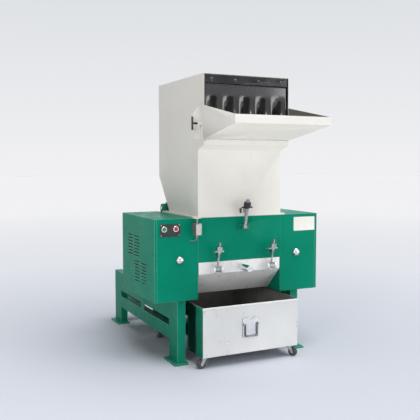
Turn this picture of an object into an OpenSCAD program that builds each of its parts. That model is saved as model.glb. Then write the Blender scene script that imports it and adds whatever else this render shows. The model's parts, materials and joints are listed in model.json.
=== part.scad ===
// Granulator that cuts plastic scrap to granules. A hopper with a folding feed tray
// stands on a cutting chamber between two side housings, on a welded channel frame.
// The screen cradle below the chamber swings down, and a wheeled bin stands under it.
// Lengths in millimetres. X runs to the machine's right, Y to its back, Z up from the floor.

/* [Overall] */
// Height of the hopper's roof above the floor
total_h = 1800; // [1790:5:1850]
// Width over the two side housings
body_w = 1180; // [1176:2:1220]
// Clear width between the chamber's side plates
throat_w = 600; // [594:2:606]
// Depth of the side housings
housing_d = 615; // [606:1:640]
// Height of the side housings
housing_h = 513; // [508:1:520]
// Height of the frame's top face above the floor
frame_h = 406; // [400:1:412]
// Thickness of the housing sheet
sheet_t = 3; // [2:0.5:4]

/* [Frame] */
// Distance between the centres of the two side frames
frame_gauge = 832; // [826:1:840]
// How far the frame's centre lies to the right of the body's
frame_shift = 11.5; // [4:0.5:14]
// Width of a channel across the machine
leg_w = 55; // [50:1:58]
// Depth of a leg from front to back
leg_d = 140; // [130:1:145]
// Distance from the front leg to the rear leg
leg_pitch = 1143; // [1120:1:1160]
// Thickness of the channels
frame_wall = 7; // [5:0.5:9]
// Height of the upper rail
rail_h = 144; // [130:1:150]
// Height of the slot between the two rails
slot_h = 44; // [36:1:50]
// Height of the lower rail
low_rail_h = 86; // [76:1:92]
// Thickness of a foot plate
foot_t = 12; // [8:1:16]

/* [Chamber] */
// Thickness of the chamber's side plates
plate_t = 25; // [22:1:28]
// Height of the rotor axis above the frame
rotor_rise = 329; // [326:1:332]
// Distance of the rotor axis behind the front panel
rotor_y = 265; // [263:1:267]
// Radius on which the rotor's knife edges run
cut_r = 160; // [157:0.5:161]
// Gap between the rotor's knives and the bed knives
knife_gap = 1; // [0.5:0.1:2]
// Thickness of a bed knife
bed_knife_t = 20; // [16:1:24]
// Number of knife rows round the rotor
knife_rows = 3; // [2:1:4]
// Number of staggered segments along the rotor
segments = 5; // [3:1:6]
// Height of the opening below the front panel
opening_h = 231; // [228:1:234]

/* [Hopper] */
// Depth of the hopper where it stands on the chamber
throat_d = 472; // [468:1:476]
// How far the hopper's back leans out behind its foot
hopper_flare = 187; // [170:1:190]
// Height over which the back leans out
flare_h = 236; // [225:1:245]
// How far the hopper's mouth stands out in front of its front wall
nose_out = 87; // [82:1:92]
// Height of the mouth
mouth_h = 395; // [388:1:400]
// Thickness of the hopper's sheet
hopper_t = 3; // [2:0.5:4]
// Thickness of the hopper's foot flange
flange_t = 9.7; // [8:0.1:12]

/* [Feed tray] */
// Length of the tray in front of the mouth
tray_len = 431; // [400:1:436]
// Rise of the tray's floor towards its front
tray_rise = 75; // [68:1:80]
// Height of the tray's front lip
lip_h = 47; // [38:1:52]
// Height of the tray's cheeks at the hopper
cheek_h = 204; // [190:1:208]
// Thickness of the tray's sheet
tray_t = 2.5; // [2:0.25:3]

/* [Screen and cradle] */
// Gap between the knife circle and the screen
screen_gap = 6; // [5:0.5:7]
// Thickness of the screen
screen_t = 6; // [4:0.5:7]
// Diameter of the screen's holes
screen_hole_d = 16; // [10:1:20]
// Height of the cradle's front flange
cradle_flange_h = 75.5; // [73:0.5:78]
// Outer diameter of the cradle's handle
handle_d = 42; // [36:1:44]
// Length of the cradle's handle
handle_len = 130; // [100:1:135]

/* [Drive] */
// Outer radius of the rotor's pulley
big_pulley_r = 165; // [158:1:167]
// Outer radius of the motor's pulley
small_pulley_r = 65; // [60:1:70]
// Radius of the flywheel
flywheel_r = 170; // [160:1:174]
// Radius of the motor's body without its fins
motor_r = 140; // [132:1:142]
// Number of belts
belts = 3; // [2:1:3]

/* [Granule bin] */
// Width of the bin's tub
bin_w = 680; // [668:2:686]
// Length of the bin's tub
bin_len = 860; // [848:2:872]
// Height of the bin's tub
bin_h = 309; // [300:1:311]
// Thickness of the bin's sheet
bin_t = 2.5; // [2:0.25:3]
// Diameter of the caster wheels
wheel_d = 58; // [54:1:60]
// Width of a caster wheel
wheel_w = 24; // [20:1:25]

/* [Hidden] */
$fn = 48;
over = 1;
fit = 0.05;
seat = 0.3;
body_top = frame_h + housing_h;
half_body = body_w / 2;
half_throat = throat_w / 2;
plate_x = half_throat + plate_t;
rotor_z = frame_h + rotor_rise;
clamp_shift = 17.5;
clamp_pitch = 391;
clamp_x = [clamp_shift - clamp_pitch / 2, clamp_shift + clamp_pitch / 2];

// ---- shared shapes: a box from its ranges, rounds along each axis, outlines along X
module span(x, y, z)
    translate([x[0], y[0], z[0]]) cube([x[1] - x[0], y[1] - y[0], z[1] - z[0]]);
module along_x(x0, x1)
    translate([x0, 0, 0]) rotate([90, 0, 90]) linear_extrude(x1 - x0) children();
module round_x(x0, x1, y, z, r)
    translate([x0, y, z]) rotate([0, 90, 0]) cylinder(h = x1 - x0, r = r);
module round_y(y0, y1, x, z, r)
    translate([x, y0, z]) rotate([-90, 0, 0]) cylinder(h = y1 - y0, r = r);
module round_z(z0, z1, x, y, r)
    translate([x, y, z0]) cylinder(h = z1 - z0, r = r);
module sided(s)
    if (s > 0) children();
    else mirror([1, 0, 0]) children();
// The part's origin is on the floor below the middle of its box
module place()
    translate([0, -mid_y, 0]) children();

// ---- frame: two welded channel side frames with foot plates
leg_y = 22;
rear_leg_y = leg_y + leg_pitch;
strut_share = 0.4656;
strut_w = 64;
foot_out = 32;
foot_in = 5;
foot_front = 35;
foot_back = 15;
rail_z = frame_h - rail_h;
low_rail_top = rail_z - slot_h;
low_rail_z = low_rail_top - low_rail_h;
web_in = leg_w / 2 - frame_wall;
strut_y = leg_y + leg_d + (leg_pitch - leg_d) * strut_share + frame_wall;
frame_back = rear_leg_y + leg_d + foot_back;
tray_front = -nose_out - tray_len;
mid_y = (frame_back + tray_front) / 2;

module leg(y) {
    span([web_in, leg_w / 2], [y, y + leg_d], [foot_t, frame_h]);
    for (f = [y, y + leg_d - frame_wall])
        span([-leg_w / 2, leg_w / 2], [f, f + frame_wall], [foot_t, frame_h]);
    span([-leg_w / 2 - foot_in, leg_w / 2 + foot_out],
        [y - foot_front, y + leg_d + foot_back], [0, foot_t]);
}
module rail(z0, z1) {
    y0 = leg_y + leg_d - frame_wall;
    y1 = rear_leg_y + frame_wall;
    span([web_in, leg_w / 2], [y0, y1], [z0, z1]);
    for (f = [z0, z1 - frame_wall])
        span([-leg_w / 2, leg_w / 2], [y0, y1], [f, f + frame_wall]);
}
module frame_side(s) color("#0b8067") place()
    translate([frame_shift + s * frame_gauge / 2, 0, 0]) sided(s) {
        leg(leg_y);
        leg(rear_leg_y);
        rail(rail_z, frame_h);
        rail(low_rail_z, low_rail_top);
        span([web_in, leg_w / 2], [strut_y, strut_y + strut_w], [low_rail_top, rail_z]);
        span([-leg_w / 2, leg_w / 2], [leg_y, rear_leg_y + leg_d],
            [frame_h - frame_wall, frame_h]);
    }
module frame_side_left() frame_side(-1);
module frame_side_right() frame_side(1);

beam_d = 50;
beam_h = 100;
beam_wall = 5;
mid_beam_y = 880;
rear_beam_y = rear_leg_y + leg_d / 2 - beam_d / 2;
module cross_beam(y, z0, z1) {
    x0 = frame_shift - frame_gauge / 2 - web_in;
    x1 = frame_shift + frame_gauge / 2 + web_in;
    difference() {
        span([x0, x1], [y, y + beam_d], [z0, z1]);
        span([x0 - over, x1 + over], [y + beam_wall, y + beam_d - beam_wall],
            [z0 + beam_wall, z1 - beam_wall]);
    }
}
module frame_cross_members() color("#0b8067") place() {
    top = frame_h - frame_wall;
    cross_beam(mid_beam_y, top - beam_h, top);
    cross_beam(rear_beam_y, top - beam_h, top);
    cross_beam(rear_beam_y, low_rail_z, low_rail_top);
}

// ---- side housings: folded sheet boxes, open below and towards the chamber
corner_w = 16;
cover_gap = 0.4;
cover_out = half_body - corner_w - cover_gap;
cover_in = half_throat + seat;
vent_w = 95;
vent_h = 7;
vent_pitch = 21;
vent_gap = 30;
vent_rows = 7;
upper_vent_y = 280;
upper_vent_rise = 250;
lower_vent_y = 150;
lower_vent_rise = 86;
guard_out = 455;
guard_in = 370;
guard_back = 1010;
guard_rise = 84;
guard_h = 310;

module vent_block(y0, rise)
    for (row = [0 : vent_rows - 1], column = [0, 1])
        translate([half_body - sheet_t - over, y0 + column * (vent_w + vent_gap),
            frame_h + rise + row * vent_pitch])
            cube([sheet_t + 2 * over, vent_w, vent_h]);
module housing(s) {
    span([half_body - sheet_t, half_body], [0, housing_d], [frame_h, body_top]);
    span([plate_x, half_body], [sheet_t, housing_d], [body_top - sheet_t, body_top]);
    span([plate_x, half_body], [housing_d - sheet_t, housing_d], [frame_h, body_top]);
    span([half_body - corner_w, half_body], [0, sheet_t], [frame_h, body_top]);
}
module left_housing() color("#0b8068") place() mirror([1, 0, 0])
    difference() {
        housing();
        vent_block(upper_vent_y, upper_vent_rise);
        vent_block(lower_vent_y, lower_vent_rise);
        span([guard_in + sheet_t, guard_out - sheet_t], [housing_d - 2 * sheet_t, housing_d + over],
            [frame_h + guard_rise + sheet_t, frame_h + guard_rise + guard_h - sheet_t]);
    }
module right_housing() color("#0b8068") place() housing();

box_x = 487;
box_w = 110;
box_rise = 411.5;
box_h = 64;
knob_x = 424;
knob_rise = 256;
knob_stem_r = 6;
gland_x = 321;
module front_covers() color("#07876c") place()
    difference() {
        for (s = [-1, 1])
            sided(s) span([cover_in, cover_out], [0, sheet_t], [frame_h, body_top]);
        span([-box_x - box_w / 2, -box_x + box_w / 2], [-over, sheet_t + over],
            [frame_h + box_rise, frame_h + box_rise + box_h]);
        for (s = [-1, 1])
            round_y(-over, sheet_t + over, s * knob_x, frame_h + knob_rise, knob_stem_r + fit);
    }

knob_r = 28;
knob_h = 21;
knob_collar_r = 13;
knob_collar_h = 3;
knob_stem_len = 16;
module housing_knob(s) color("#d6d8dc") place()
    translate([s * knob_x, -seat, frame_h + knob_rise]) rotate([90, 0, 0]) {
        dome_r = (knob_r * knob_r + knob_h * knob_h) / (2 * knob_h);
        translate([0, 0, knob_collar_h])
            intersection() {
                translate([0, 0, knob_h - dome_r]) sphere(r = dome_r);
                cylinder(h = knob_h, r = knob_r);
            }
        cylinder(h = knob_collar_h, r = knob_collar_r);
        translate([0, 0, -knob_stem_len]) cylinder(h = knob_stem_len, r = knob_stem_r);
    }
module housing_knob_left() housing_knob(-1);
module housing_knob_right() housing_knob(1);

// ---- clamps: lugs with a pin, forks, swing bolts with T-nuts
eye_out = 28;
eye_r = 13;
pin_r = 7;
lean = 12;
fork_w = 48;
fork_slot = 25;
fork_back = 6;
hopper_eye_z = frame_h + 444;
hopper_fork_z = body_top + 21;
hopper_fork_h = 32;
hopper_eye_w = 27;
hopper_ear_t = 8;
hopper_ear_r = 17;
hopper_rod_r = 11;
screen_eye_z = frame_h + 182;
screen_fork_z = frame_h + opening_h + 35;
screen_fork_h = 28;
screen_eye_w = 43;
screen_ear_t = 12;
screen_ear_r = 22;
screen_rod_r = 6.5;

module clevis(x, z, gap, ear_t, r)
    translate([x, 0, z]) {
        for (s = [-1, 1])
            sided(s) {
                span([gap / 2, gap / 2 + ear_t], [-eye_out, 0], [-r, r]);
                round_x(gap / 2, gap / 2 + ear_t, -eye_out, 0, r);
            }
        round_x(-gap / 2 - ear_t, gap / 2 + ear_t, -eye_out, 0, pin_r);
    }
module fork(x, z0, h)
    translate([x, 0, z0]) difference() {
        span([-fork_w / 2, fork_w / 2], [-eye_out, 0], [0, h]);
        span([-fork_slot / 2, fork_slot / 2], [-eye_out - over, -fork_back], [-over, h + over]);
    }
module leaning(x, z) place()
    translate([x, -eye_out, z]) rotate([lean, 0, 0]) children();
module swing_bolt(x, z, gap, rod_r, rod_len)
    leaning(x, z) difference() {
        union() {
            round_x(seat - gap / 2, gap / 2 - seat, 0, 0, eye_r);
            cylinder(h = rod_len, r = rod_r);
        }
        round_x(-gap / 2, gap / 2, 0, 0, pin_r + fit);
    }

nut_bar_r = 5;
nut_bar_up = 7;
nut_collar_r = 14;
nut_collar_h = 13;
hopper_nut_r = 23;
hopper_nut_h = 28;
hopper_bar = 75;
hopper_stud_over = 19;
screen_nut_r = 20;
screen_nut_h = 30;
screen_bar = 62;
screen_stud_over = 25;
hopper_nut_l = (hopper_fork_z + hopper_fork_h - hopper_eye_z) / cos(lean);
screen_nut_l = (screen_fork_z + screen_fork_h - screen_eye_z) / cos(lean);
module t_nut(x, z, l, nut_r, nut_h, bar, rod_r)
    leaning(x, z) difference() {
        union() {
            translate([0, 0, l]) cylinder(h = nut_collar_h, r = nut_collar_r);
            translate([0, 0, l + nut_collar_h]) cylinder(h = nut_h, r = nut_r);
            round_x(-bar / 2, bar / 2, 0, l + nut_bar_up, nut_bar_r);
        }
        translate([0, 0, l - over])
            cylinder(h = nut_collar_h + nut_h + 2 * over, r = rod_r + fit);
    }
module hopper_swing_bolt() color("#c9cbcd")
    swing_bolt(clamp_shift, hopper_eye_z, hopper_eye_w, hopper_rod_r,
        hopper_nut_l + nut_collar_h + hopper_nut_h + hopper_stud_over);
module hopper_t_nut() color("#4a4c4e")
    t_nut(clamp_shift, hopper_eye_z, hopper_nut_l, hopper_nut_r, hopper_nut_h,
        hopper_bar, hopper_rod_r);
module screen_swing_bolt(x) color("#c9cbcd")
    swing_bolt(x, screen_eye_z, screen_eye_w, screen_rod_r,
        screen_nut_l + nut_collar_h + screen_nut_h + screen_stud_over);
module screen_t_nut(x) color("#9fa2a4")
    t_nut(x, screen_eye_z, screen_nut_l, screen_nut_r, screen_nut_h, screen_bar, screen_rod_r);
module screen_swing_bolt_left() screen_swing_bolt(clamp_x[0]);
module screen_swing_bolt_right() screen_swing_bolt(clamp_x[1]);
module screen_t_nut_left() screen_t_nut(clamp_x[0]);
module screen_t_nut_right() screen_t_nut(clamp_x[1]);

panel_t = 6;
opening_z = frame_h + opening_h;
module front_panel() color("#07876c") place() {
    span([-half_throat + seat, half_throat - seat], [0, panel_t], [opening_z, body_top]);
    clevis(clamp_shift, hopper_eye_z, hopper_eye_w, hopper_ear_t, hopper_ear_r);
    for (x = clamp_x)
        fork(x, screen_fork_z, screen_fork_h);
}

// ---- controls on the left front cover: box, buttons, limit switch; blank rating plate
face_w = 134;
face_h = 79;
face_t = 3;
box_depth = 60;
box_t = 2;
bezel_r = 18;
bezel_h = 5;
cap_r = 11;
cap_out = 3;
stop_out = 7;
cap_in = 16;
start_x = -528;
stop_x = -451;
button_z = frame_h + 451;
box_z = frame_h + box_rise + box_h / 2;
module control_box() color("#4a4a45") place()
    difference() {
        union() {
            span([-box_x - face_w / 2, -box_x + face_w / 2], [-face_t, 0],
                [box_z - face_h / 2, box_z + face_h / 2]);
            difference() {
                span([seat - box_x - box_w / 2, -seat - box_x + box_w / 2], [-over, box_depth],
                    [box_z - box_h / 2 + seat, box_z + box_h / 2 - seat]);
                span([-box_x - box_w / 2 + box_t, -box_x + box_w / 2 - box_t],
                    [0, box_depth - box_t],
                    [box_z - box_h / 2 + box_t, box_z + box_h / 2 - box_t]);
            }
            for (x = [start_x, stop_x])
                round_y(-face_t - bezel_h, -face_t, x, button_z, bezel_r);
        }
        for (x = [start_x, stop_x])
            round_y(-face_t - bezel_h - over, over, x, button_z, cap_r + fit);
    }
module button(x, out) place()
    round_y(-face_t - bezel_h - out, cap_in, x, button_z, cap_r);
module start_button() color("#2f9c5a") button(start_x, cap_out);
module stop_button() color("#c22a33") button(stop_x, stop_out);

switch_w = 40;
switch_d = 60;
switch_h = 74;
switch_z = frame_h + 410;
stem_x = -gland_x;
stem_y = -switch_d / 2;
stem_r = 5;
stem_len = 18;
stem_travel = 6;
roller_r = 8;
roller_w = 9;
gland_r = 8;
gland_h = 13;
conduit_r = 4;
conduit_bend = 24;
conduit_turn = 43;
module limit_switch() color("#8b8f92") place()
    difference() {
        union() {
            span([-gland_x - switch_w / 2, -gland_x + switch_w / 2], [-switch_d, 0],
                [switch_z, switch_z + switch_h]);
            round_z(switch_z - gland_h, switch_z, stem_x, stem_y, gland_r);
            translate([stem_x, stem_y, switch_z - gland_h]) rotate([0, 0, conduit_turn]) {
                translate([0, conduit_bend, 0]) rotate([-90, 0, -90])
                    rotate_extrude(angle = 90) translate([conduit_bend, 0]) circle(conduit_r);
                translate([0, conduit_bend, -conduit_bend]) rotate([-90, 0, 0])
                    cylinder(h = switch_d / 2, r = conduit_r);
            }
        }
        span([-2 * gland_x, 0], [0, switch_d], [switch_z - 2 * switch_h, switch_z - over]);
        round_z(switch_z + switch_h - stem_len - stem_travel, switch_z + switch_h + over,
            stem_x, stem_y, stem_r + fit);
    }
module limit_switch_plunger() color("#b9bcbf") place() {
    round_z(switch_z + switch_h - stem_len, body_top - roller_r, stem_x, stem_y, stem_r);
    round_x(stem_x - roller_w / 2, stem_x + roller_w / 2, stem_y, body_top - roller_r, roller_r);
}

rating_x = 487.5;
rating_w = 167;
rating_h = 92;
rating_t = 1.5;
rating_rise = 400;
module rating_plate() color("#d9dbdc") place()
    span([rating_x - rating_w / 2, rating_x + rating_w / 2], [-rating_t, 0],
        [frame_h + rating_rise, frame_h + rating_rise + rating_h]);

// ---- chamber: side plates with the hinge ears, front and rear beams, bed knives
side_d = 590;
base_t = 14;
shaft_hole_r = 60;
ear_r = 28;
hinge_y = 550;
hinge_z = body_top + 29;
hinge_pin_r = 10;
cradle_y = rotor_y + 215;
cradle_z = rotor_z - 135;
cradle_pin_r = 12;
module chamber_side(s) color("#07876c") place() {
    sided(s) along_x(half_throat, plate_x) difference() {
        union() {
            translate([sheet_t, frame_h]) square([side_d - sheet_t, housing_h]);
            translate([hinge_y - ear_r, body_top - ear_r]) square([2 * ear_r, hinge_z - body_top + ear_r]);
            translate([hinge_y, hinge_z]) circle(ear_r);
        }
        translate([rotor_y, rotor_z]) circle(shaft_hole_r);
        translate([hinge_y, hinge_z]) circle(hinge_pin_r + fit);
        translate([cradle_y, cradle_z]) circle(cradle_pin_r + fit);
    }
    sided(s) span([plate_x, frame_gauge / 2 + s * frame_shift], [sheet_t, side_d],
        [frame_h, frame_h + base_t]);
}
module chamber_side_left() chamber_side(-1);
module chamber_side_right() chamber_side(1);

throat_wall = 19;
beam_drop = 80;
beam_in = cut_r + 17;
throat_half = rotor_y - panel_t - throat_wall;
knife_bevel = 12;
back_step = 27;
slope_low = 10;
slope_high = 65;
knife_bolts = 4;
knife_bolt_pitch = 150;
knife_bolt_r = 11;
knife_bolt_h = 8;
knife_bolt_in = 30;
knife_z = rotor_z;
seat_z = rotor_z - bed_knife_t;
// An outline in distances from the rotor axis, on its front (f = -1) or its rear side
function about_rotor(f, p) = [for (q = p) [rotor_y + f * q[0], q[1]]];
beam_outline = [
    [beam_in, rotor_z - beam_drop],
    [beam_in, seat_z],
    [throat_half, seat_z],
    [throat_half, body_top],
    [throat_half + throat_wall, body_top],
    [throat_half + throat_wall, rotor_z - beam_drop]
];
wedge_outline = [
    [throat_half, rotor_z + slope_low],
    [throat_half - back_step, rotor_z + slope_high],
    [throat_half - back_step, body_top],
    [throat_half, body_top]
];
module chamber_front() color("#0b8067") place()
    along_x(-half_throat, half_throat) polygon(about_rotor(-1, beam_outline));
module chamber_rear() color("#0b8067") place()
    along_x(-half_throat, half_throat) {
        polygon(about_rotor(1, beam_outline));
        polygon(about_rotor(1, wedge_outline));
    }
module bed_knives() color("#b4b7b9") place()
    for (f = [-1, 1]) {
        along_x(-half_throat, half_throat) polygon(about_rotor(f, [
            [throat_half, seat_z],
            [cut_r + knife_gap + knife_bevel, seat_z],
            [cut_r + knife_gap, knife_z],
            [throat_half, knife_z]
        ]));
        for (i = [0 : knife_bolts - 1])
            translate([(i - (knife_bolts - 1) / 2) * knife_bolt_pitch,
                rotor_y + f * (throat_half - knife_bolt_in), knife_z - over])
                cylinder(h = knife_bolt_h + over, r = knife_bolt_r, $fn = 6);
    }

// ---- rotor: stepped shaft, staggered core, knives, bearings, pulley and flywheel
shaft_r = 45;
journal_r = 35;
shaft_end_r = 30;
shaft_end_x = 450;
bearing_len = 47;
bearing_flange = 150;
bearing_flange_t = 16;
bearing_r = 60;
hub_r = 70;
arm_r = 135;
arm_w = 56;
rotor_side_gap = 4;
knife_plate_t = 8;
knife_root_r = 95;
stagger = 24;
core_half = half_throat - rotor_side_gap;
arm_root = (shaft_r + hub_r) / 2;
segment_w = 2 * core_half / segments;
journal_x = plate_x + bearing_len + panel_t;
module on_rotor(x)
    translate([x, rotor_y, rotor_z]) rotate([90, 0, 90]) children();
module rotor_shaft() color("#a9acae") place() {
    round_x(-core_half - over, core_half + over, rotor_y, rotor_z, shaft_r);
    round_x(-journal_x, journal_x, rotor_y, rotor_z, journal_r);
    round_x(-shaft_end_x, shaft_end_x, rotor_y, rotor_z, shaft_end_r);
}
module rotor_core() color("#6f7274") place() {
    difference() {
        round_x(-core_half, core_half, rotor_y, rotor_z, hub_r);
        round_x(-core_half - over, core_half + over, rotor_y, rotor_z, shaft_r + fit);
    }
    for (i = [0 : segments - 1], k = [0 : knife_rows - 1])
        on_rotor(-core_half + i * segment_w + over)
            rotate([0, 0, i * stagger + k * 360 / knife_rows])
                translate([arm_root, -arm_w / 2, 0])
                    cube([arm_r - arm_root, arm_w, segment_w - 2 * over]);
}
module rotor_knives() color("#c3c6c8") place()
    for (i = [0 : segments - 1], k = [0 : knife_rows - 1])
        on_rotor(-core_half + i * segment_w + over) rotate([0, 0, i * stagger + k * 360 / knife_rows])
            linear_extrude(segment_w - 2 * over)
                translate([knife_root_r, arm_w / 2]) {
                    tip = arm_w / 2 + knife_plate_t;
                    square([sqrt(cut_r * cut_r - tip * tip) - knife_root_r, knife_plate_t]);
                }
module rotor_bearings() color("#3f7f6c") place()
    for (s = [-1, 1])
        sided(s) difference() {
            union() {
                span([plate_x, plate_x + bearing_flange_t],
                    [rotor_y - bearing_flange / 2, rotor_y + bearing_flange / 2],
                    [rotor_z - bearing_flange / 2, rotor_z + bearing_flange / 2]);
                round_x(plate_x, plate_x + bearing_len, rotor_y, rotor_z, bearing_r);
            }
            round_x(plate_x - over, plate_x + bearing_len + over, rotor_y, rotor_z, journal_r + fit);
        }

pulley_x = plate_x + 55;
pulley_w = 65;
groove_d = 8.5;
groove_low = 5.3;
groove_high = 7.5;
belt_pitch = 19;
belt_w = 10;
belt_t = 9;
pulley_holes = 5;
flywheel_w = 60;
flywheel_web = 24;
flywheel_rim = 28;
flywheel_hub_r = 55;
function belt_x(i) = pulley_w / 2 + (i - (belts - 1) / 2) * belt_pitch;
module pulley(r, bore)
    difference() {
        cylinder(h = pulley_w, r = r);
        for (i = [0 : belts - 1])
            rotate_extrude() polygon([
                [r - groove_d, belt_x(i) - groove_low],
                [r + over, belt_x(i) - groove_high],
                [r + over, belt_x(i) + groove_high],
                [r - groove_d, belt_x(i) + groove_low]
            ]);
        translate([0, 0, -over]) cylinder(h = pulley_w + 2 * over, r = bore + fit);
    }
module rotor_pulley() color("#55585a") place()
    on_rotor(-pulley_x - pulley_w) difference() {
        pulley(big_pulley_r, shaft_end_r);
        for (i = [0 : pulley_holes - 1])
            rotate([0, 0, i * 360 / pulley_holes])
                translate([(big_pulley_r + shaft_end_r) / 2, 0, -over])
                    cylinder(h = pulley_w + 2 * over, r = shaft_end_r);
    }
module flywheel() color("#55585a") place()
    on_rotor(pulley_x) difference() {
        cylinder(h = flywheel_w, r = flywheel_r);
        for (z = [-over, (flywheel_w + flywheel_web) / 2])
            translate([0, 0, z]) difference() {
                cylinder(h = (flywheel_w - flywheel_web) / 2 + over, r = flywheel_r - flywheel_rim);
                cylinder(h = (flywheel_w - flywheel_web) / 2 + over, r = flywheel_hub_r);
            }
        translate([0, 0, -over]) cylinder(h = flywheel_w + 2 * over, r = shaft_end_r + fit);
    }

// ---- drive: motor on slide rails behind the chamber, belts inside housing and guard
platform_t = 14;
platform_y = 740;
platform_d = 320;
slide_h = 20;
slide_w = 50;
slide_x = [-225, 25];
slide_d = 300;
motor_axis_h = 160;
motor_y = platform_y + platform_d / 2;
motor_z = frame_h + platform_t + slide_h + motor_axis_h;
motor_left = -320;
motor_right = 170;
motor_shaft_r = 21;
motor_bore_len = 70;
shaft_over = 4;
fin_h = 18;
fin_t = 3;
fins = 24;
fin_end = 30;
motor_foot_in = 95;
motor_foot_w = 40;
motor_foot_h = 80;
motor_foot_end = 40;
pad_w = 140;
pad_d = 110;
pad_z = motor_z + 160;
fan_cover_len = 90;
fan_cover_r = 150;
fan_cover_t = 3;
bell_lap = 12;
fan_holes = 8;
fan_hole_r = 22;
terminal_h = 45;
function arc(c, r, a0, a1, n) =
    [for (i = [0 : n]) c + r * [cos(a0 + (a1 - a0) * i / n), sin(a0 + (a1 - a0) * i / n)]];
belt_d = norm([motor_y - rotor_y, motor_z - rotor_z]);
belt_a = atan2(motor_z - rotor_z, motor_y - rotor_y);
// The belt's outline at a given height out of the grooves
function belt_outline(h) =
    let (r1 = big_pulley_r + h, r2 = small_pulley_r + h, a = acos((r1 - r2) / belt_d))
    concat(
        arc([rotor_y, rotor_z], r1, belt_a + a, belt_a + 360 - a, 48),
        arc([motor_y, motor_z], r2, belt_a - a, belt_a + a, 24)
    );
module drive_belts() color("#232425") place()
    for (i = [0 : belts - 1])
        along_x(-pulley_x - pulley_w + belt_x(i) - belt_w / 2,
            -pulley_x - pulley_w + belt_x(i) + belt_w / 2) difference() {
            polygon(belt_outline(belt_t + seat - groove_d));
            polygon(belt_outline(seat - groove_d));
        }
module motor_shaft() color("#a9acae") place()
    round_x(-pulley_x - pulley_w - shaft_over, motor_left + motor_bore_len - over,
        motor_y, motor_z, motor_shaft_r);
module motor_pulley() color("#55585a") place()
    translate([-pulley_x - pulley_w, motor_y, motor_z]) rotate([90, 0, 90])
        pulley(small_pulley_r, motor_shaft_r);
module motor_body() color("#3c6f8f") place()
    difference() {
        union() {
            round_x(motor_left, motor_right, motor_y, motor_z, motor_r);
            along_x(motor_left + fin_end, motor_right - fin_end)
                translate([motor_y, motor_z])
                    for (i = [0 : fins - 1])
                        rotate((i + 1 / 2) * 360 / fins)
                            translate([motor_r - over, -fin_t / 2]) square([fin_h + over, fin_t]);
            for (f = [-1, 1])
                translate([0, motor_y + f * (motor_foot_in + motor_foot_w / 2), 0])
                    span([motor_left + motor_foot_end, motor_right - motor_foot_end],
                        [-motor_foot_w / 2, motor_foot_w / 2],
                        [motor_z - motor_axis_h, motor_z - motor_axis_h + motor_foot_h]);
            span([-pad_w, 0], [motor_y - pad_d / 2, motor_y + pad_d / 2], [motor_z, pad_z]);
            round_x(motor_right - fin_end, motor_right + bell_lap, motor_y, motor_z,
                fan_cover_r - fan_cover_t - seat);
        }
        round_x(motor_left - over, motor_left + motor_bore_len, motor_y, motor_z, motor_shaft_r + fit);
    }
module motor_covers() color("#3c6f8f") place() {
    difference() {
        round_x(motor_right, motor_right + fan_cover_len, motor_y, motor_z, fan_cover_r);
        round_x(motor_right - over, motor_right + fan_cover_len - fan_cover_t,
            motor_y, motor_z, fan_cover_r - fan_cover_t);
        for (i = [0 : fan_holes - 1])
            translate([motor_right, motor_y, motor_z]) rotate([i * 360 / fan_holes, 0, 0])
                round_x(fan_cover_len / 2, fan_cover_len + over, 0, fan_cover_r / 2, fan_hole_r);
    }
    span([-pad_w, 0], [motor_y - pad_d / 2, motor_y + pad_d / 2], [pad_z, pad_z + terminal_h]);
}
module motor_base() color("#0b8067") place() {
    span([frame_shift - frame_gauge / 2, frame_shift + frame_gauge / 2],
        [platform_y, platform_y + platform_d], [frame_h, frame_h + platform_t]);
    for (x = slide_x)
        span([x - slide_w / 2, x + slide_w / 2], [motor_y - slide_d / 2, motor_y + slide_d / 2],
            [frame_h + platform_t - over, frame_h + platform_t + slide_h]);
}
guard_hole_r = 30;
module belt_guard() color("#0b8067") place()
    difference() {
        span([-guard_out, -guard_in], [housing_d, guard_back],
            [frame_h + guard_rise, frame_h + guard_rise + guard_h]);
        span([-guard_out + sheet_t, -guard_in - sheet_t],
            [housing_d - over, guard_back - sheet_t],
            [frame_h + guard_rise + sheet_t, frame_h + guard_rise + guard_h - sheet_t]);
        round_x(-guard_in - sheet_t - over, -guard_in + over, motor_y, motor_z, guard_hole_r);
    }

// ---- screen and its cradle, hinged behind the chamber
screen_in = cut_r + screen_gap;
screen_out = screen_in + screen_t;
screen_side_gap = 3;
screen_drop = 85;
screen_rows = 5;
screen_row_step = 24;
screen_columns = 11;
screen_column_pitch = 52;
module screen() color("#8f9294") place()
    difference() {
        on_rotor(-half_throat + screen_side_gap)
            linear_extrude(2 * (half_throat - screen_side_gap)) difference() {
                circle(screen_out);
                circle(screen_in);
                translate([-screen_out - over, -screen_drop])
                    square([2 * (screen_out + over), screen_out + screen_drop + over]);
            }
        for (i = [0 : screen_columns - 1], k = [0 : screen_rows - 1])
            translate([(i - (screen_columns - 1) / 2) * screen_column_pitch, rotor_y, rotor_z])
                rotate([(k - (screen_rows - 1) / 2) * screen_row_step, 0, 0])
                    translate([0, 0, -screen_out - over])
                        cylinder(h = screen_t + 2 * over, r = screen_hole_d / 2);
    }

cradle_gap = 0.5;
cradle_side_gap = 4;
chute_t = 6;
chute_drop = 148;
rib_side_gap = 7;
rib_t = 10;
rib_gap = 10;
rib_chamfer = 20;
rib_drop = 230;
rib_heel = 135;
barrel_r = 22;
bar_size = 20;
cradle_bars = [-195, -10, 110];
flange_top = opening_z - cradle_gap;
flange_low = flange_top - cradle_flange_h;
chute_low = flange_low - chute_drop;
rib_top = rotor_z - beam_drop - rib_gap;
rib_low = rotor_z - rib_drop;
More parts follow.
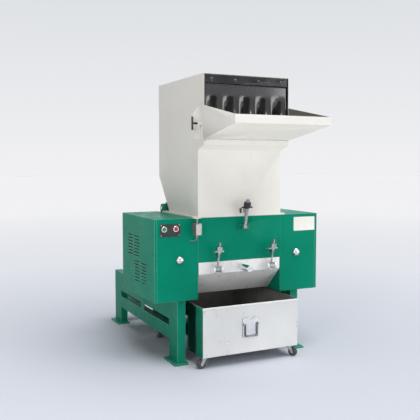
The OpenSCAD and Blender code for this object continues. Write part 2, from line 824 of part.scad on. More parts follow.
// Inner face of the plate that slopes down and back at 45 degrees
function chute_y(z) = flange_low + chute_t * sqrt(2) - z;
module cradle_front_plate() color("#c4c6c8") place() {
    along_x(-half_throat + cradle_side_gap, half_throat - cradle_side_gap) polygon([
        [0, flange_top],
        [chute_t, flange_top],
        [chute_t, chute_y(chute_t)],
        [chute_y(chute_low), chute_low],
        [chute_drop, chute_low],
        [0, flange_low]
    ]);
    for (x = clamp_x)
        clevis(x, screen_eye_z, screen_eye_w, screen_ear_t, screen_ear_r);
}
module screen_cradle() color("#0b8067") place()
    difference() {
        union() {
            for (s = [-1, 1])
                sided(s) along_x(half_throat - rib_side_gap - rib_t, half_throat - rib_side_gap)
                    polygon([
                        [chute_t, chute_y(chute_t)],
                        [chute_t, rib_top - rib_chamfer],
                        [chute_t + rib_chamfer, rib_top],
                        [cradle_y, rib_top],
                        [cradle_y + barrel_r, cradle_z],
                        [rotor_y + rib_heel, rib_low],
                        [chute_y(rib_low), rib_low]
                    ]);
            round_x(rib_side_gap - half_throat, half_throat - rib_side_gap,
                cradle_y, cradle_z, barrel_r);
            for (y = cradle_bars)
                span([rib_side_gap - half_throat, half_throat - rib_side_gap],
                    [rotor_y + y, rotor_y + y + bar_size], [rib_low, rib_low + bar_size]);
        }
        round_x(-half_throat, half_throat, rotor_y, rotor_z, screen_out + seat);
        round_x(-half_throat, half_throat, cradle_y, cradle_z, cradle_pin_r + fit);
    }
handle_wall = 4;
handle_z = frame_h + 190;
module cradle_handle() color("#cfd1d3") place()
    difference() {
        round_y(-handle_len, 0, 0, handle_z, handle_d / 2);
        round_y(-handle_len + handle_wall, over, 0, handle_z, handle_d / 2 - handle_wall);
    }

lug_out = half_throat - 2;
lug_t = 28;
pin_over = 4;
pin_head_r = 14;
module hinge_pins() color("#a9acae") place() {
    for (s = [-1, 1])
        sided(s) {
            round_x(lug_out - lug_t - pin_over, plate_x + over, hinge_y, hinge_z, hinge_pin_r);
            round_x(plate_x, plate_x + pin_over, hinge_y, hinge_z, pin_head_r);
        }
    round_x(-plate_x, plate_x, cradle_y, cradle_z, cradle_pin_r);
}

// ---- hopper: folded sheet with foot flange, hinge lugs, fork, striker and mouth
foot_z = body_top + seat;
flange_z = foot_z + flange_t;
flange_lip = 35;
flange_back = 47;
sill_h = 33.5;
nose_h = 32.5;
sill_z = total_h - mouth_h;
nose_z = sill_z - sill_h;
hopper_back = throat_d + hopper_flare;
striker_t = 6;
striker_y = -45;
striker_in = 5;
lug_y = 490;
lug_top = 56;
doubler_x = 260;
doubler_t = 7.6;
doubler_h = 151;
header_in = 15;
header_t = 3;
header_h = 56;
header_y = -nose_out + header_in;
hopper_outline = [
    [0, foot_z],
    [0, nose_z - nose_h],
    [-nose_out, nose_z],
    [-nose_out, total_h],
    [hopper_back, total_h],
    [hopper_back, flange_z + flare_h],
    [throat_d, flange_z],
    [throat_d, foot_z]
];
// The outline moved inwards by a sheet's thickness, with mitred corners
function turned(v) = [v[1], -v[0]] / norm(v);
function inset(p, d) = [for (i = [0 : len(p) - 1])
    let (m = turned(p[i] - p[(i + len(p) - 1) % len(p)]), n = turned(p[(i + 1) % len(p)] - p[i]))
    p[i] + d * (m + n) / (1 + m * n)];
// Where the back's slope lies at height h above the flange
function taper(h) = [throat_d + h * hopper_flare / flare_h, flange_z + h];

hinge_out = 9;
hinge_drop = 6;
knuckle_r = 5;
hinge_rod_r = 2.5;
hinge_half = 295;
knuckle_count = 7;
knuckle_w = 2 * hinge_half / knuckle_count;
tray_hinge_y = -nose_out - hinge_out;
tray_hinge_z = sill_z - hinge_drop;
module knuckle_row(first)
    for (i = [first : 2 : knuckle_count - 1])
        translate([-hinge_half + i * knuckle_w + seat, tray_hinge_y, tray_hinge_z]) children();

module hopper_shell() color("#dcdad6") place()
    difference() {
        union() {
            along_x(-half_throat, half_throat) polygon(hopper_outline);
            span([-half_throat - flange_lip, half_throat + flange_lip],
                [0, throat_d + flange_back], [foot_z, flange_z]);
            span([-gland_x - switch_w / 2, -gland_x + switch_w / 2],
                [striker_y, striker_in], [foot_z, foot_z + striker_t]);
            fork(clamp_shift, hopper_fork_z, hopper_fork_h);
            for (s = [-1, 1])
                sided(s) {
                    span([lug_out - lug_t, lug_out], [lug_y, hinge_y],
                        [foot_z + over, flange_z + lug_top]);
                    round_x(lug_out - lug_t, lug_out, hinge_y, hinge_z, ear_r);
                }
            along_x(-doubler_x, doubler_x) polygon([
                taper(0),
                taper(0) + [doubler_t, 0],
                taper(doubler_h) + [doubler_t, 0],
                taper(doubler_h)
            ]);
            knuckle_row(0) {
                round_x(0, knuckle_w - 2 * seat, 0, 0, knuckle_r);
                span([0, knuckle_w - 2 * seat], [0, hinge_out + over],
                    [-hinge_drop, -hinge_rod_r - over / 2]);
            }
            round_x(-hinge_half, hinge_half, tray_hinge_y, tray_hinge_z, hinge_rod_r);
        }
        difference() {
            along_x(hopper_t - half_throat, half_throat - hopper_t)
                polygon(inset(hopper_outline, hopper_t));
            span([-half_throat, half_throat], [header_y, header_y + header_t],
                [total_h - header_h, total_h]);
        }
        span([hopper_t - half_throat, half_throat - hopper_t], [hopper_t, throat_d - hopper_t],
            [foot_z - over, foot_z + hopper_t + over]);
        span([hopper_t - half_throat, half_throat - hopper_t],
            [-nose_out - over, -nose_out + hopper_t + over], [sill_z, total_h - hopper_t]);
        round_x(-half_throat, half_throat, hinge_y, hinge_z, hinge_pin_r + fit);
    }

// ---- feed tray: sloped floor, lip, flared cheeks, side arms with clamp screws
cheek_gap = 1.3;
cheek_flare = 12.2;
arm_len = 57;
arm_flange = 47;
arm_flange_drop = 66;
arm_over = 13;
floor_in = 3;
floor_up = 5.5;
boss_r = 13;
boss_len = 26;
boss_back = 32;
boss_up = 94;
cheek_x = half_throat + cheek_gap;
floor_y = tray_hinge_y + floor_in;
floor_z = tray_hinge_z + floor_up;
lip_z = sill_z + tray_rise;
tray_slope = atan2(lip_z - floor_z, floor_y - tray_front);
floor_len = (floor_y - tray_front) / cos(tray_slope);
arm_back = -nose_out + arm_len;
screw_y = -nose_out + boss_back;
screw_z = sill_z + boss_up;
screw_r = 6;
module cheek() {
    translate([cheek_x, -nose_out, 0]) rotate([0, 0, asin(cheek_flare / tray_len)])
        translate([0, nose_out, 0]) along_x(0, tray_t) polygon([
            [-nose_out, floor_z],
            [floor_y, floor_z],
            [tray_front, lip_z],
            [tray_front, lip_z + lip_h],
            [-nose_out, sill_z + cheek_h]
        ]);
    along_x(cheek_x, cheek_x + tray_t) polygon([
        [-nose_out - over, floor_z],
        [arm_back, floor_z],
        [arm_back, sill_z + cheek_h + arm_over],
        [-nose_out - over, sill_z + cheek_h]
    ]);
    translate([0, arm_back, 0]) rotate([90, 0, 0]) linear_extrude(tray_t) polygon([
        [cheek_x, floor_z],
        [cheek_x + arm_flange, floor_z],
        [cheek_x + arm_flange, sill_z + cheek_h + arm_over - arm_flange_drop],
        [cheek_x, sill_z + cheek_h + arm_over]
    ]);
    round_x(cheek_x, cheek_x + tray_t + boss_len, screw_y, screw_z, boss_r);
}
module feed_tray() color("#e3e2df") place()
    difference() {
        union() {
            for (s = [-1, 1])
                sided(s) cheek();
            translate([0, floor_y, floor_z]) rotate([-tray_slope, 0, 0])
                linear_extrude(tray_t) polygon([
                    [-cheek_x - tray_t / 2, 0],
                    [cheek_x + tray_t / 2, 0],
                    [cheek_x + cheek_flare + tray_t / 2, -floor_len],
                    [-cheek_x - cheek_flare - tray_t / 2, -floor_len]
                ]);
            span([-cheek_x - cheek_flare - tray_t / 2, cheek_x + cheek_flare + tray_t / 2],
                [tray_front, tray_front + tray_t], [lip_z, lip_z + lip_h]);
            knuckle_row(1) {
                round_x(0, knuckle_w - 2 * seat, 0, 0, knuckle_r);
                span([0, knuckle_w - 2 * seat], [-floor_in - over, floor_in],
                    [0, floor_up + over]);
            }
        }
        round_x(-half_throat, half_throat, tray_hinge_y, tray_hinge_z, hinge_rod_r + fit);
        for (s = [-1, 1])
            sided(s) round_x(cheek_x - over, cheek_x + tray_t + boss_len + over,
                screw_y, screw_z, screw_r + fit);
    }
screw_out = 55;
tbar_len = 82;
module tray_clamp_screw(s) color("#4a4c4e") place() sided(s) {
    round_x(cheek_x - seat, cheek_x + screw_out + screw_r, screw_y, screw_z, screw_r);
    round_z(screw_z - tbar_len / 2, screw_z + tbar_len / 2,
        cheek_x + screw_out + screw_r, screw_y, screw_r);
}
module tray_clamp_screw_left() tray_clamp_screw(-1);
module tray_clamp_screw_right() tray_clamp_screw(1);

// ---- curtain: rubber sheet in folds below its clamp bar with four bolts
curtain_t = 4;
clamp_bar_t = 6;
clamp_bar_x = 292;
clamp_bar_drop = 6;
clamp_bolt_pitch = 163;
clamp_bolt_r = 9;
clamp_bolt_h = 6;
clamp_bolt_drop = 34;
curtain_x = 288;
curtain_h = 318;
curtain_folds = 5;
fold_columns = 9;
fold_rows = 12;
fold_depth = 46;
fold_front = 7;
fold_start_share = 0.12;
curtain_y = header_y - curtain_t;
curtain_z = total_h - header_h - seat;
columns = curtain_folds * fold_columns;
module curtain_clamp() color("#5c5e60") place() {
    span([-clamp_bar_x, clamp_bar_x], [curtain_y, header_y],
        [total_h - header_h, total_h - clamp_bar_drop]);
    span([-clamp_bar_x, clamp_bar_x], [curtain_y - clamp_bar_t, curtain_y],
        [total_h - header_h, total_h - clamp_bar_drop]);
    for (i = [-3 : 2 : 3])
        translate([i * clamp_bolt_pitch / 2, curtain_y - clamp_bar_t + over, total_h - clamp_bolt_drop])
            rotate([90, 0, 0]) cylinder(h = clamp_bolt_h + over, r = clamp_bolt_r, $fn = 6);
}
// Depth of the folds at a share of the height below the bar, and the sheet's face there
function fold(q) = let (w = max(0, q - fold_start_share) / (1 - fold_start_share))
    w * (2 - w);
function curtain_face(i, k) =
    let (q = k / fold_rows, wave = (1 - cos(360 * i / fold_columns)) / 2)
    curtain_y - fold_front * fold(q) + (fold_depth + fold_front) * fold(q) * wave;
function curtain_point(i, k, back) =
    [-curtain_x + 2 * curtain_x * i / columns, curtain_face(i, k) + back * curtain_t,
        curtain_z - curtain_h * k / fold_rows];
curtain_points = concat(
    [for (k = [0 : fold_rows], i = [0 : columns]) curtain_point(i, k, 0)],
    [for (k = [0 : fold_rows], i = [0 : columns]) curtain_point(i, k, 1)]
);
function at(i, k, back) = i + (columns + 1) * (k + back * (fold_rows + 1));
function quad(a, b, c, d) = [[a, b, c], [a, c, d]];
curtain_faces = [
    for (k = [0 : fold_rows - 1], i = [0 : columns - 1])
        each quad(at(i, k, 0), at(i + 1, k, 0), at(i + 1, k + 1, 0), at(i, k + 1, 0)),
    for (k = [0 : fold_rows - 1], i = [0 : columns - 1])
        each quad(at(i, k, 1), at(i, k + 1, 1), at(i + 1, k + 1, 1), at(i + 1, k, 1)),
    for (i = [0 : columns - 1])
        each quad(at(i, 0, 0), at(i, 0, 1), at(i + 1, 0, 1), at(i + 1, 0, 0)),
    for (i = [0 : columns - 1])
        each quad(at(i, fold_rows, 0), at(i + 1, fold_rows, 0),
            at(i + 1, fold_rows, 1), at(i, fold_rows, 1)),
    for (k = [0 : fold_rows - 1])
        each quad(at(0, k, 0), at(0, k + 1, 0), at(0, k + 1, 1), at(0, k, 1)),
    for (k = [0 : fold_rows - 1])
        each quad(at(columns, k, 0), at(columns, k, 1),
            at(columns, k + 1, 1), at(columns, k + 1, 0))
];
module feed_curtain() color("#2b2b2d") place()
    polyhedron(points = curtain_points, faces = curtain_faces);

// ---- granule bin: tub with a rim, chest handle, casters
bin_y = -157;
bin_z = 75;
rim_out = 3;
rim_h = 12;
pad_size = 60;
pad_t = 4;
king_r = 6;
king_x = 310;
front_king_y = -112;
rear_king_y = 630;
module bin_tub() color("#c9cccd") place()
    difference() {
        union() {
            span([-bin_w / 2, bin_w / 2], [bin_y, bin_y + bin_len], [bin_z, bin_z + bin_h]);
            span([-bin_w / 2 - rim_out, bin_w / 2 + rim_out],
                [bin_y - rim_out, bin_y + bin_len + rim_out], [bin_z + bin_h - rim_h, bin_z + bin_h]);
            for (x = [-king_x, king_x], y = [front_king_y, rear_king_y])
                span([x - pad_size / 2, x + pad_size / 2], [y - pad_size / 2, y + pad_size / 2],
                    [bin_z - pad_t, bin_z + bin_t]);
        }
        span([-bin_w / 2 + bin_t, bin_w / 2 - bin_t], [bin_y + bin_t, bin_y + bin_len - bin_t],
            [bin_z + bin_t, bin_z + bin_h + over]);
        for (x = [-king_x, king_x], y = [front_king_y, rear_king_y])
            round_z(bin_z - pad_t - over, bin_z, x, y, king_r + fit);
    }

handle_x = -10;
handle_w = 118;
handle_h = 130;
handle_rise = 94;
handle_t = 4;
handle_round = 12;
handle_notch_r = 27;
bail_x = 41.5;
bail_r = 4.5;
bail_out = 10;
bail_drop = 76.5;
bail_pivot = 88;
bail_pin_r = 4;
bail_ear_in = 47;
bail_ear_t = 5;
bail_ear_r = 8;
bail_z = bin_z + handle_rise + bail_pivot;
bail_y = bin_y - bail_out;
module bin_handle_plate() color("#d3d6d7") place() {
    translate([handle_x, bin_y, bin_z + handle_rise]) rotate([90, 0, 0])
        linear_extrude(handle_t) difference() {
            union() {
                translate([-handle_w / 2, handle_round]) square([handle_w, handle_h - 2 * handle_round]);
                translate([-handle_w / 2 + handle_round, 0]) square([handle_w - 2 * handle_round, handle_h]);
                for (x = [-1, 1], z = [handle_round, handle_h - handle_round])
                    translate([x * (handle_w / 2 - handle_round), z]) circle(handle_round);
            }
            translate([0, handle_h + handle_round]) circle(handle_notch_r);
        }
    for (s = [-1, 1])
        translate([handle_x, 0, bail_z]) sided(s) difference() {
            union() {
                span([bail_ear_in, bail_ear_in + bail_ear_t], [bail_y, bin_y - handle_t + over],
                    [-bail_ear_r, bail_ear_r]);
                round_x(bail_ear_in, bail_ear_in + bail_ear_t, bail_y, 0, bail_ear_r);
            }
            round_x(bail_ear_in - over, bail_ear_in + bail_ear_t + over, bail_y, 0, bail_pin_r + fit);
        }
}
module bin_bail() color("#d8dadc") place()
    translate([handle_x, bail_y, bail_z]) {
        for (s = [-1, 1])
            sided(s) {
                round_z(-bail_drop, 0, bail_x, 0, bail_r);
                round_x(bail_x, bail_ear_in + bail_ear_t + over, 0, 0, bail_pin_r);
                for (z = [-bail_drop, 0])
                    translate([bail_x, 0, z]) sphere(r = bail_r);
            }
        round_x(-bail_x, bail_x, 0, -bail_drop, bail_r);
    }

trail = 22;
crown_r = 21;
crown_t = 4.7;
crown_z = bin_z - pad_t - seat;
king_over = 3.5;
fork_gap = 1;
fork_t = 3.5;
fork_half = 14;
fork_foot_r = 10;
axle_r = 4;
wheel_bevel = 3;
fork_in = wheel_w / 2 + fork_gap;
module caster_fork() {
    round_z(crown_z - crown_t, crown_z, 0, 0, crown_r);
    round_z(crown_z - crown_t, crown_z + king_over, 0, 0, king_r);
    for (y = [-fork_in - fork_t, fork_in])
        translate([0, y + fork_t, 0]) rotate([90, 0, 0]) linear_extrude(fork_t) {
            polygon([
                [-fork_half, crown_z - over],
                [fork_half, crown_z - over],
                [trail + fork_foot_r, wheel_d / 2],
                [trail - fork_foot_r, wheel_d / 2]
            ]);
            translate([trail, wheel_d / 2]) circle(fork_foot_r);
        }
    round_y(-fork_in - fork_t, fork_in + fork_t, trail, wheel_d / 2, axle_r);
}
module caster_wheel()
    translate([trail, 0, wheel_d / 2]) rotate([90, 0, 0]) rotate_extrude() polygon([
        [axle_r + fit, -wheel_w / 2],
        [wheel_d / 2 - wheel_bevel, -wheel_w / 2],
        [wheel_d / 2, -wheel_w / 2 + wheel_bevel],
        [wheel_d / 2, wheel_w / 2 - wheel_bevel],
        [wheel_d / 2 - wheel_bevel, wheel_w / 2],
        [axle_r + fit, wheel_w / 2]
    ]);
left_heading = 180;
right_heading = -60;
rear_heading = 90;
module caster(x, y, heading) place()
    translate([x, y, 0]) rotate([0, 0, heading]) children();
module front_caster_fork_left() color("#b7babc")
    caster(-king_x, front_king_y, left_heading) caster_fork();
module front_caster_fork_right() color("#b7babc")
    caster(king_x, front_king_y, right_heading) caster_fork();
module rear_caster_forks() color("#b7babc")
    for (x = [-king_x, king_x])
        caster(x, rear_king_y, rear_heading) caster_fork();
module caster_wheel_front_left() color("#333436")
    caster(-king_x, front_king_y, left_heading) caster_wheel();
module caster_wheel_front_right() color("#333436")
    caster(king_x, front_king_y, right_heading) caster_wheel();
module caster_wheel_rear_left() color("#333436")
    caster(-king_x, rear_king_y, rear_heading) caster_wheel();
module caster_wheel_rear_right() color("#333436")
    caster(king_x, rear_king_y, rear_heading) caster_wheel();

frame_side_left();
frame_side_right();
frame_cross_members();
left_housing();
right_housing();
front_covers();
front_panel();
belt_guard();
control_box();
start_button();
stop_button();
limit_switch();
limit_switch_plunger();
rating_plate();
housing_knob_left();
housing_knob_right();
chamber_side_left();
chamber_side_right();
chamber_front();
chamber_rear();
bed_knives();
rotor_shaft();
rotor_core();
rotor_knives();
rotor_bearings();
rotor_pulley();
flywheel();
drive_belts();
motor_shaft();
motor_pulley();
motor_body();
motor_covers();
motor_base();
screen();
screen_cradle();
cradle_front_plate();
cradle_handle();
hinge_pins();
screen_swing_bolt_left();
screen_swing_bolt_right();
screen_t_nut_left();
screen_t_nut_right();
hopper_swing_bolt();
hopper_t_nut();
hopper_shell();
feed_tray();
tray_clamp_screw_left();
tray_clamp_screw_right();
curtain_clamp();
feed_curtain();
bin_tub();
bin_handle_plate();
bin_bail();
front_caster_fork_left();
front_caster_fork_right();
rear_caster_forks();
caster_wheel_front_left();
caster_wheel_front_right();
caster_wheel_rear_left();
caster_wheel_rear_right();
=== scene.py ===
import json
import math

import bmesh
import bpy
from mathutils import Matrix, Vector


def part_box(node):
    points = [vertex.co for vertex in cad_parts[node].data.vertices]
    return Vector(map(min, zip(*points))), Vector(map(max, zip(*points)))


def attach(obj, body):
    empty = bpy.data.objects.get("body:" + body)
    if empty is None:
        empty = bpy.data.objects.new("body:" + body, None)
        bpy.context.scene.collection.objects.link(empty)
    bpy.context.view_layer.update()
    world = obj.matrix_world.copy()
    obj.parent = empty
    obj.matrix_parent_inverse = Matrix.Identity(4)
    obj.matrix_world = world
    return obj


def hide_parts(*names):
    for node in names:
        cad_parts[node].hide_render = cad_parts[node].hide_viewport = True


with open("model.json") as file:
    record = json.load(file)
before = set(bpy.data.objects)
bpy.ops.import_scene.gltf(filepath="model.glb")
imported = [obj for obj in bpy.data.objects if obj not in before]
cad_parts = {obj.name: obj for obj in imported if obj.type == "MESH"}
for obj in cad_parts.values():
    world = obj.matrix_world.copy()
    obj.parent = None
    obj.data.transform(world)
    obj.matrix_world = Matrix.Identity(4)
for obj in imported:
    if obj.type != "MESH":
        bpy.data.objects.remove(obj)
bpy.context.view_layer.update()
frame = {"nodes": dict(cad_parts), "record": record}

# ---- Camera, floor and lamps
# A long-lens view from the machine's front left, at about two thirds of its height. The floor
# is pale and plain. A broad sun and a front softbox light it, a narrow strip from the left.
scene = bpy.context.scene
scene.view_settings.view_transform = "Standard"
MIDDLE = 0.401                      # the front panel's plane lies this far before the origin


def lin(r, g, b):
    """Linear colour of an 8-bit screen colour."""
    return tuple(c / 12.92 if c <= 0.04045 else ((c + 0.055) / 1.055) ** 2.4
                 for c in (r / 255, g / 255, b / 255)) + (1,)


def nodes_of(name):
    """A fresh material, its node tree and its shader."""
    material = bpy.data.materials.new(name)
    material.use_nodes = True
    return material, material.node_tree, material.node_tree.nodes["Principled BSDF"]


CAMERA_AT = (-1.957, -3.6135 - MIDDLE, 1.2689)
TILT_DOWN, TURN_RIGHT = 4.32, 25.71         # degrees
lens = bpy.data.cameras.new("view")
lens.sensor_fit = "HORIZONTAL"
lens.sensor_width = 36
lens.lens = 55.0
lens.clip_end = 60
viewer = bpy.data.objects.new("view", lens)
viewer.location = CAMERA_AT
viewer.rotation_euler = (math.radians(90 - TILT_DOWN), 0, math.radians(-TURN_RIGHT))
scene.collection.objects.link(viewer)
scene.camera = viewer

WHITE_ROOM, SOFT_FILL = 1, 0.18     # strength of what is seen or mirrored, and of the fill
sky = bpy.data.worlds.new("studio")
scene.world = sky
sky.use_nodes = True
air = sky.node_tree
air.nodes.clear()
out = air.nodes.new("ShaderNodeOutputWorld")
seen = air.nodes.new("ShaderNodeBackground")
fill = air.nodes.new("ShaderNodeBackground")
rays = air.nodes.new("ShaderNodeLightPath")
pick = air.nodes.new("ShaderNodeMixShader")
way = air.nodes.new("ShaderNodeTexCoord")
rise = air.nodes.new("ShaderNodeSeparateXYZ")
half = air.nodes.new("ShaderNodeMath")
half.operation = "MULTIPLY_ADD"
half.inputs[1].default_value = 0.5
half.inputs[2].default_value = 0.5
bands = air.nodes.new("ShaderNodeValToRGB")
bands.color_ramp.elements[0].position = 0.30
bands.color_ramp.elements[0].color = lin(206, 209, 214)
bands.color_ramp.elements[1].position = 0.50
bands.color_ramp.elements[1].color = lin(240, 240, 242)
for place, colour in ((0.44, lin(238, 238, 241)), (0.62, lin(222, 225, 229)),
                      (0.78, lin(190, 196, 202)), (0.93, lin(240, 242, 246))):
    bands.color_ramp.elements.new(place).color = colour
shine = air.nodes.new("ShaderNodeMath")
shine.operation = "MAXIMUM"
clear = air.nodes.new("ShaderNodeMath")
clear.operation = "MAXIMUM"
seen.inputs["Strength"].default_value = WHITE_ROOM
fill.inputs["Color"].default_value = (1, 1, 1, 1)
fill.inputs["Strength"].default_value = SOFT_FILL
air.links.new(way.outputs["Generated"], rise.inputs[0])
air.links.new(rise.outputs["Z"], half.inputs[0])
air.links.new(half.outputs[0], bands.inputs[0])
air.links.new(bands.outputs[0], seen.inputs["Color"])
air.links.new(rays.outputs["Is Camera Ray"], shine.inputs[0])
air.links.new(rays.outputs["Is Glossy Ray"], shine.inputs[1])
air.links.new(shine.outputs[0], clear.inputs[0])
air.links.new(rays.outputs["Is Transmission Ray"], clear.inputs[1])
air.links.new(clear.outputs[0], pick.inputs[0])
air.links.new(fill.outputs[0], pick.inputs[1])
air.links.new(seen.outputs[0], pick.inputs[2])
air.links.new(pick.outputs[0], out.inputs[0])

FLOOR_HALF, FLOOR_SHIFT = 50, (1.5, 3.0, 0)
SHADE_FROM, SHADE_TO = 1.0, 12.0    # the floor pales between these distances from the middle
ground = bmesh.new()
bmesh.ops.create_grid(ground, x_segments=2, y_segments=2, size=FLOOR_HALF)
slab = bpy.data.meshes.new("floor")
ground.to_mesh(slab)
ground.free()
slab.transform(Matrix.Translation(FLOOR_SHIFT))
floor = bpy.data.objects.new("floor", slab)
scene.collection.objects.link(floor)
pale, tree, shader = nodes_of("pale_floor")
shader.inputs["Roughness"].default_value = 0.9
shader.inputs["Specular IOR Level"].default_value = 0.1
where = tree.nodes.new("ShaderNodeTexCoord")
away = tree.nodes.new("ShaderNodeVectorMath")
away.operation = "LENGTH"
reach = tree.nodes.new("ShaderNodeMapRange")
reach.inputs["From Min"].default_value = SHADE_FROM
reach.inputs["From Max"].default_value = SHADE_TO
fade = tree.nodes.new("ShaderNodeValToRGB")
fade.color_ramp.elements[0].color = lin(206, 210, 221)
fade.color_ramp.elements[1].color = lin(250, 250, 252)
fade.color_ramp.elements.new(0.25).color = lin(230, 233, 239)
eye = tree.nodes.new("ShaderNodeLightPath")
looks = tree.nodes.new("ShaderNodeMath")
looks.operation = "MAXIMUM"
paint = tree.nodes.new("ShaderNodeMix")
paint.data_type = "RGBA"
paint.inputs[6].default_value = lin(245, 245, 246)
tree.links.new(where.outputs["Object"], away.inputs[0])
tree.links.new(away.outputs["Value"], reach.inputs["Value"])
tree.links.new(reach.outputs[0], fade.inputs[0])
tree.links.new(eye.outputs["Is Camera Ray"], looks.inputs[0])
tree.links.new(eye.outputs["Is Glossy Ray"], looks.inputs[1])
tree.links.new(looks.outputs[0], paint.inputs[0])
tree.links.new(fade.outputs[0], paint.inputs[7])
tree.links.new(paint.outputs[2], shader.inputs["Base Color"])
slab.materials.append(pale)

SUN_WAY, SUN_SPREAD = (-0.15, 0.32, -0.93), 50
sun = bpy.data.lights.new("sun", "SUN")
sun.energy = 2.5
sun.angle = math.radians(SUN_SPREAD)
stand = bpy.data.objects.new("sun", sun)
stand.rotation_euler = Vector(SUN_WAY).to_track_quat("-Z", "Y").to_euler()
scene.collection.objects.link(stand)
for name, place, aim, wide, tall, power in (
    ("front", (4.9, -5.1, 1.9), (0, 0, 0.8), 3.2, 2.6, 108),
    ("strip", (-3.3, -3.0, 1.7), (0, -0.5, 1.5), 0.5, 1.8, 34),
):
    lamp = bpy.data.lights.new(name, "AREA")
    lamp.shape = "RECTANGLE"
    lamp.size = wide
    lamp.size_y = tall
    lamp.energy = power
    stand = bpy.data.objects.new(name, lamp)
    stand.location = place
    stand.rotation_euler = (Vector(aim) - Vector(place)).to_track_quat("-Z", "Y").to_euler()
    scene.collection.objects.link(stand)

# ---- Welded frame
# Two side frames of channel steel with foot plates, and the box members that join them. The
# lengths are cut, butted and welded, then sprayed green; beads run round the foot plates.
FOOT = 0.012                        # thickness of a foot plate
LEG_W, LEG_D = 0.055, 0.140         # section of a leg
SIDE_X = (-0.4045, 0.4275)          # middles of the two side frames
LEG_Y = (0.022, 1.165)              # fronts of the legs, from the front panel's plane
BEAD_R = 0.003
BEAD_STEP, BEAD_TURN = 1.3, 1.7     # between ripples: radii along the bead, and radians
EDGE_SLOT = 1                            # material slot of a piece's edge rounds; on enamel their lighter tone is a painted highlight, their chips real wear


def link(tree, a, b):
    """Joins an output to an input."""
    tree.links.new(a, b)


def spot_on(tree, stretch=(1, 1, 1), turn=(0, 0, 0)):
    """Object coordinates, stretched and turned for a pattern."""
    where = tree.nodes.new("ShaderNodeTexCoord")
    moved = tree.nodes.new("ShaderNodeMapping")
    moved.inputs["Scale"].default_value = stretch
    moved.inputs["Rotation"].default_value = turn
    link(tree, where.outputs["Object"], moved.inputs["Vector"])
    return moved.outputs[0]


def noise(tree, scale, detail=3, stretch=(1, 1, 1), rough=0.55):
    """A cloudy pattern, scale clouds to the metre."""
    cloud = tree.nodes.new("ShaderNodeTexNoise")
    cloud.inputs["Scale"].default_value = scale
    cloud.inputs["Detail"].default_value = detail
    cloud.inputs["Roughness"].default_value = rough
    link(tree, spot_on(tree, stretch), cloud.inputs["Vector"])
    return cloud.outputs["Fac"]


def ramp(tree, value, stops):
    """Colours over a value: stops are (place, colour), lowest first."""
    node = tree.nodes.new("ShaderNodeValToRGB")
    row = node.color_ramp.elements
    row[0].position, row[0].color = stops[0]
    row[1].position, row[1].color = stops[-1]
    for place, colour in stops[1:-1]:
        row.new(place).color = colour
    link(tree, value, node.inputs[0])
    return node.outputs[0]


def span(tree, value, low, high, start=0.0, end=1.0):
    """A value between start and end moved to between low and high."""
    node = tree.nodes.new("ShaderNodeMapRange")
    node.inputs["From Min"].default_value = start
    node.inputs["From Max"].default_value = end
    node.inputs["To Min"].default_value = low
    node.inputs["To Max"].default_value = high
    link(tree, value, node.inputs["Value"])
    return node.outputs[0]


def times(tree, a, b):
    """The product of two outputs or numbers."""
    node = tree.nodes.new("ShaderNodeMath")
    node.operation = "MULTIPLY"
    for socket, value in zip(node.inputs, (a, b)):
        if hasattr(value, "is_linked"):
            link(tree, value, socket)
        else:
            socket.default_value = value
    return node.outputs[0]


def laid_on(tree, share, base, over):
    """The base colour, with over on it as far as share says."""
    node = tree.nodes.new("ShaderNodeMix")
    node.data_type = "RGBA"
    for socket, value in ((node.inputs[6], base), (node.inputs[7], over)):
        if hasattr(value, "is_linked"):
            link(tree, value, socket)
        else:
            socket.default_value = value
    link(tree, share, node.inputs[0])
    return node.outputs[2]


def relief(tree, shader, value, distance, strength=1.0, under=None):
    """Small height from a value, over an earlier relief if there is one."""
    node = tree.nodes.new("ShaderNodeBump")
    node.inputs["Distance"].default_value = distance
    node.inputs["Strength"].default_value = strength
    link(tree, value, node.inputs["Height"])
    if under is not None:
        link(tree, under, node.inputs["Normal"])
    link(tree, node.outputs[0], shader.inputs["Normal"])
    return node.outputs[0]


def below(tree, top):
    """1 at the floor and 0 from the height top up, broken by clouds: where dust settles."""
    where = tree.nodes.new("ShaderNodeTexCoord")
    split = tree.nodes.new("ShaderNodeSeparateXYZ")
    link(tree, where.outputs["Object"], split.inputs[0])
    return times(tree, span(tree, split.outputs["Z"], 1, 0, 0, top), noise(tree, 9, 6))


def enamel(name, colour, deep, roughness, dust=0.2, chips=None, scuff=0.02, shine=0.05):
    """Sprayed enamel: orange peel, a slow drift of shade, scuffs, dust low down. With chips, the
    colour below it, it is the paint of an edge round: bare chips of real wear, and a whitened tone
    that is a painted highlight."""
    material, tree, shader = nodes_of(name)
    shade = ramp(tree, noise(tree, 2.6, 4), [(0.32, deep), (0.68, colour)])
    rubs = span(tree, noise(tree, 34, 8, (1, 1, 0.16), 0.7), 0, scuff, 0.56, 0.74)
    shade = laid_on(tree, rubs, shade, lin(128, 128, 124))
    if chips is not None:
        bare = span(tree, noise(tree, 95, 6, (1, 1, 1), 0.75), 0, 1, 0.60, 0.66)
        # Painted highlight: the edge's paint is mixed a tenth to three tenths toward near white.
        shade = laid_on(tree, bare, laid_on(tree, span(tree, noise(tree, 20), 0.1, 0.3),
                                            shade, lin(235, 240, 236)), chips)
    shade = laid_on(tree, times(tree, below(tree, 0.5), dust), shade, lin(150, 147, 138))
    link(tree, shade, shader.inputs["Base Color"])
    link(tree, span(tree, noise(tree, 13, 6), roughness - 0.07, roughness + 0.12, 0.3, 0.7),
         shader.inputs["Roughness"])
    skin = relief(tree, shader, noise(tree, 460, 2), 0.00012, 0.6)
    relief(tree, shader, noise(tree, 5, 2), 0.004, 0.22, skin)
    shader.inputs["Specular IOR Level"].default_value = shine
    return material


green = enamel("green_enamel", lin(1, 136, 109), lin(0, 126, 100), 0.30, 0.06)
# Painted highlight: the edge tone is lighter than the faces' green; its chips are real wear.
green_edge = enamel("green_enamel_edge", lin(16, 150, 124), lin(4, 136, 110), 0.28, 0.1,
                    lin(96, 108, 96), shine=0.25)


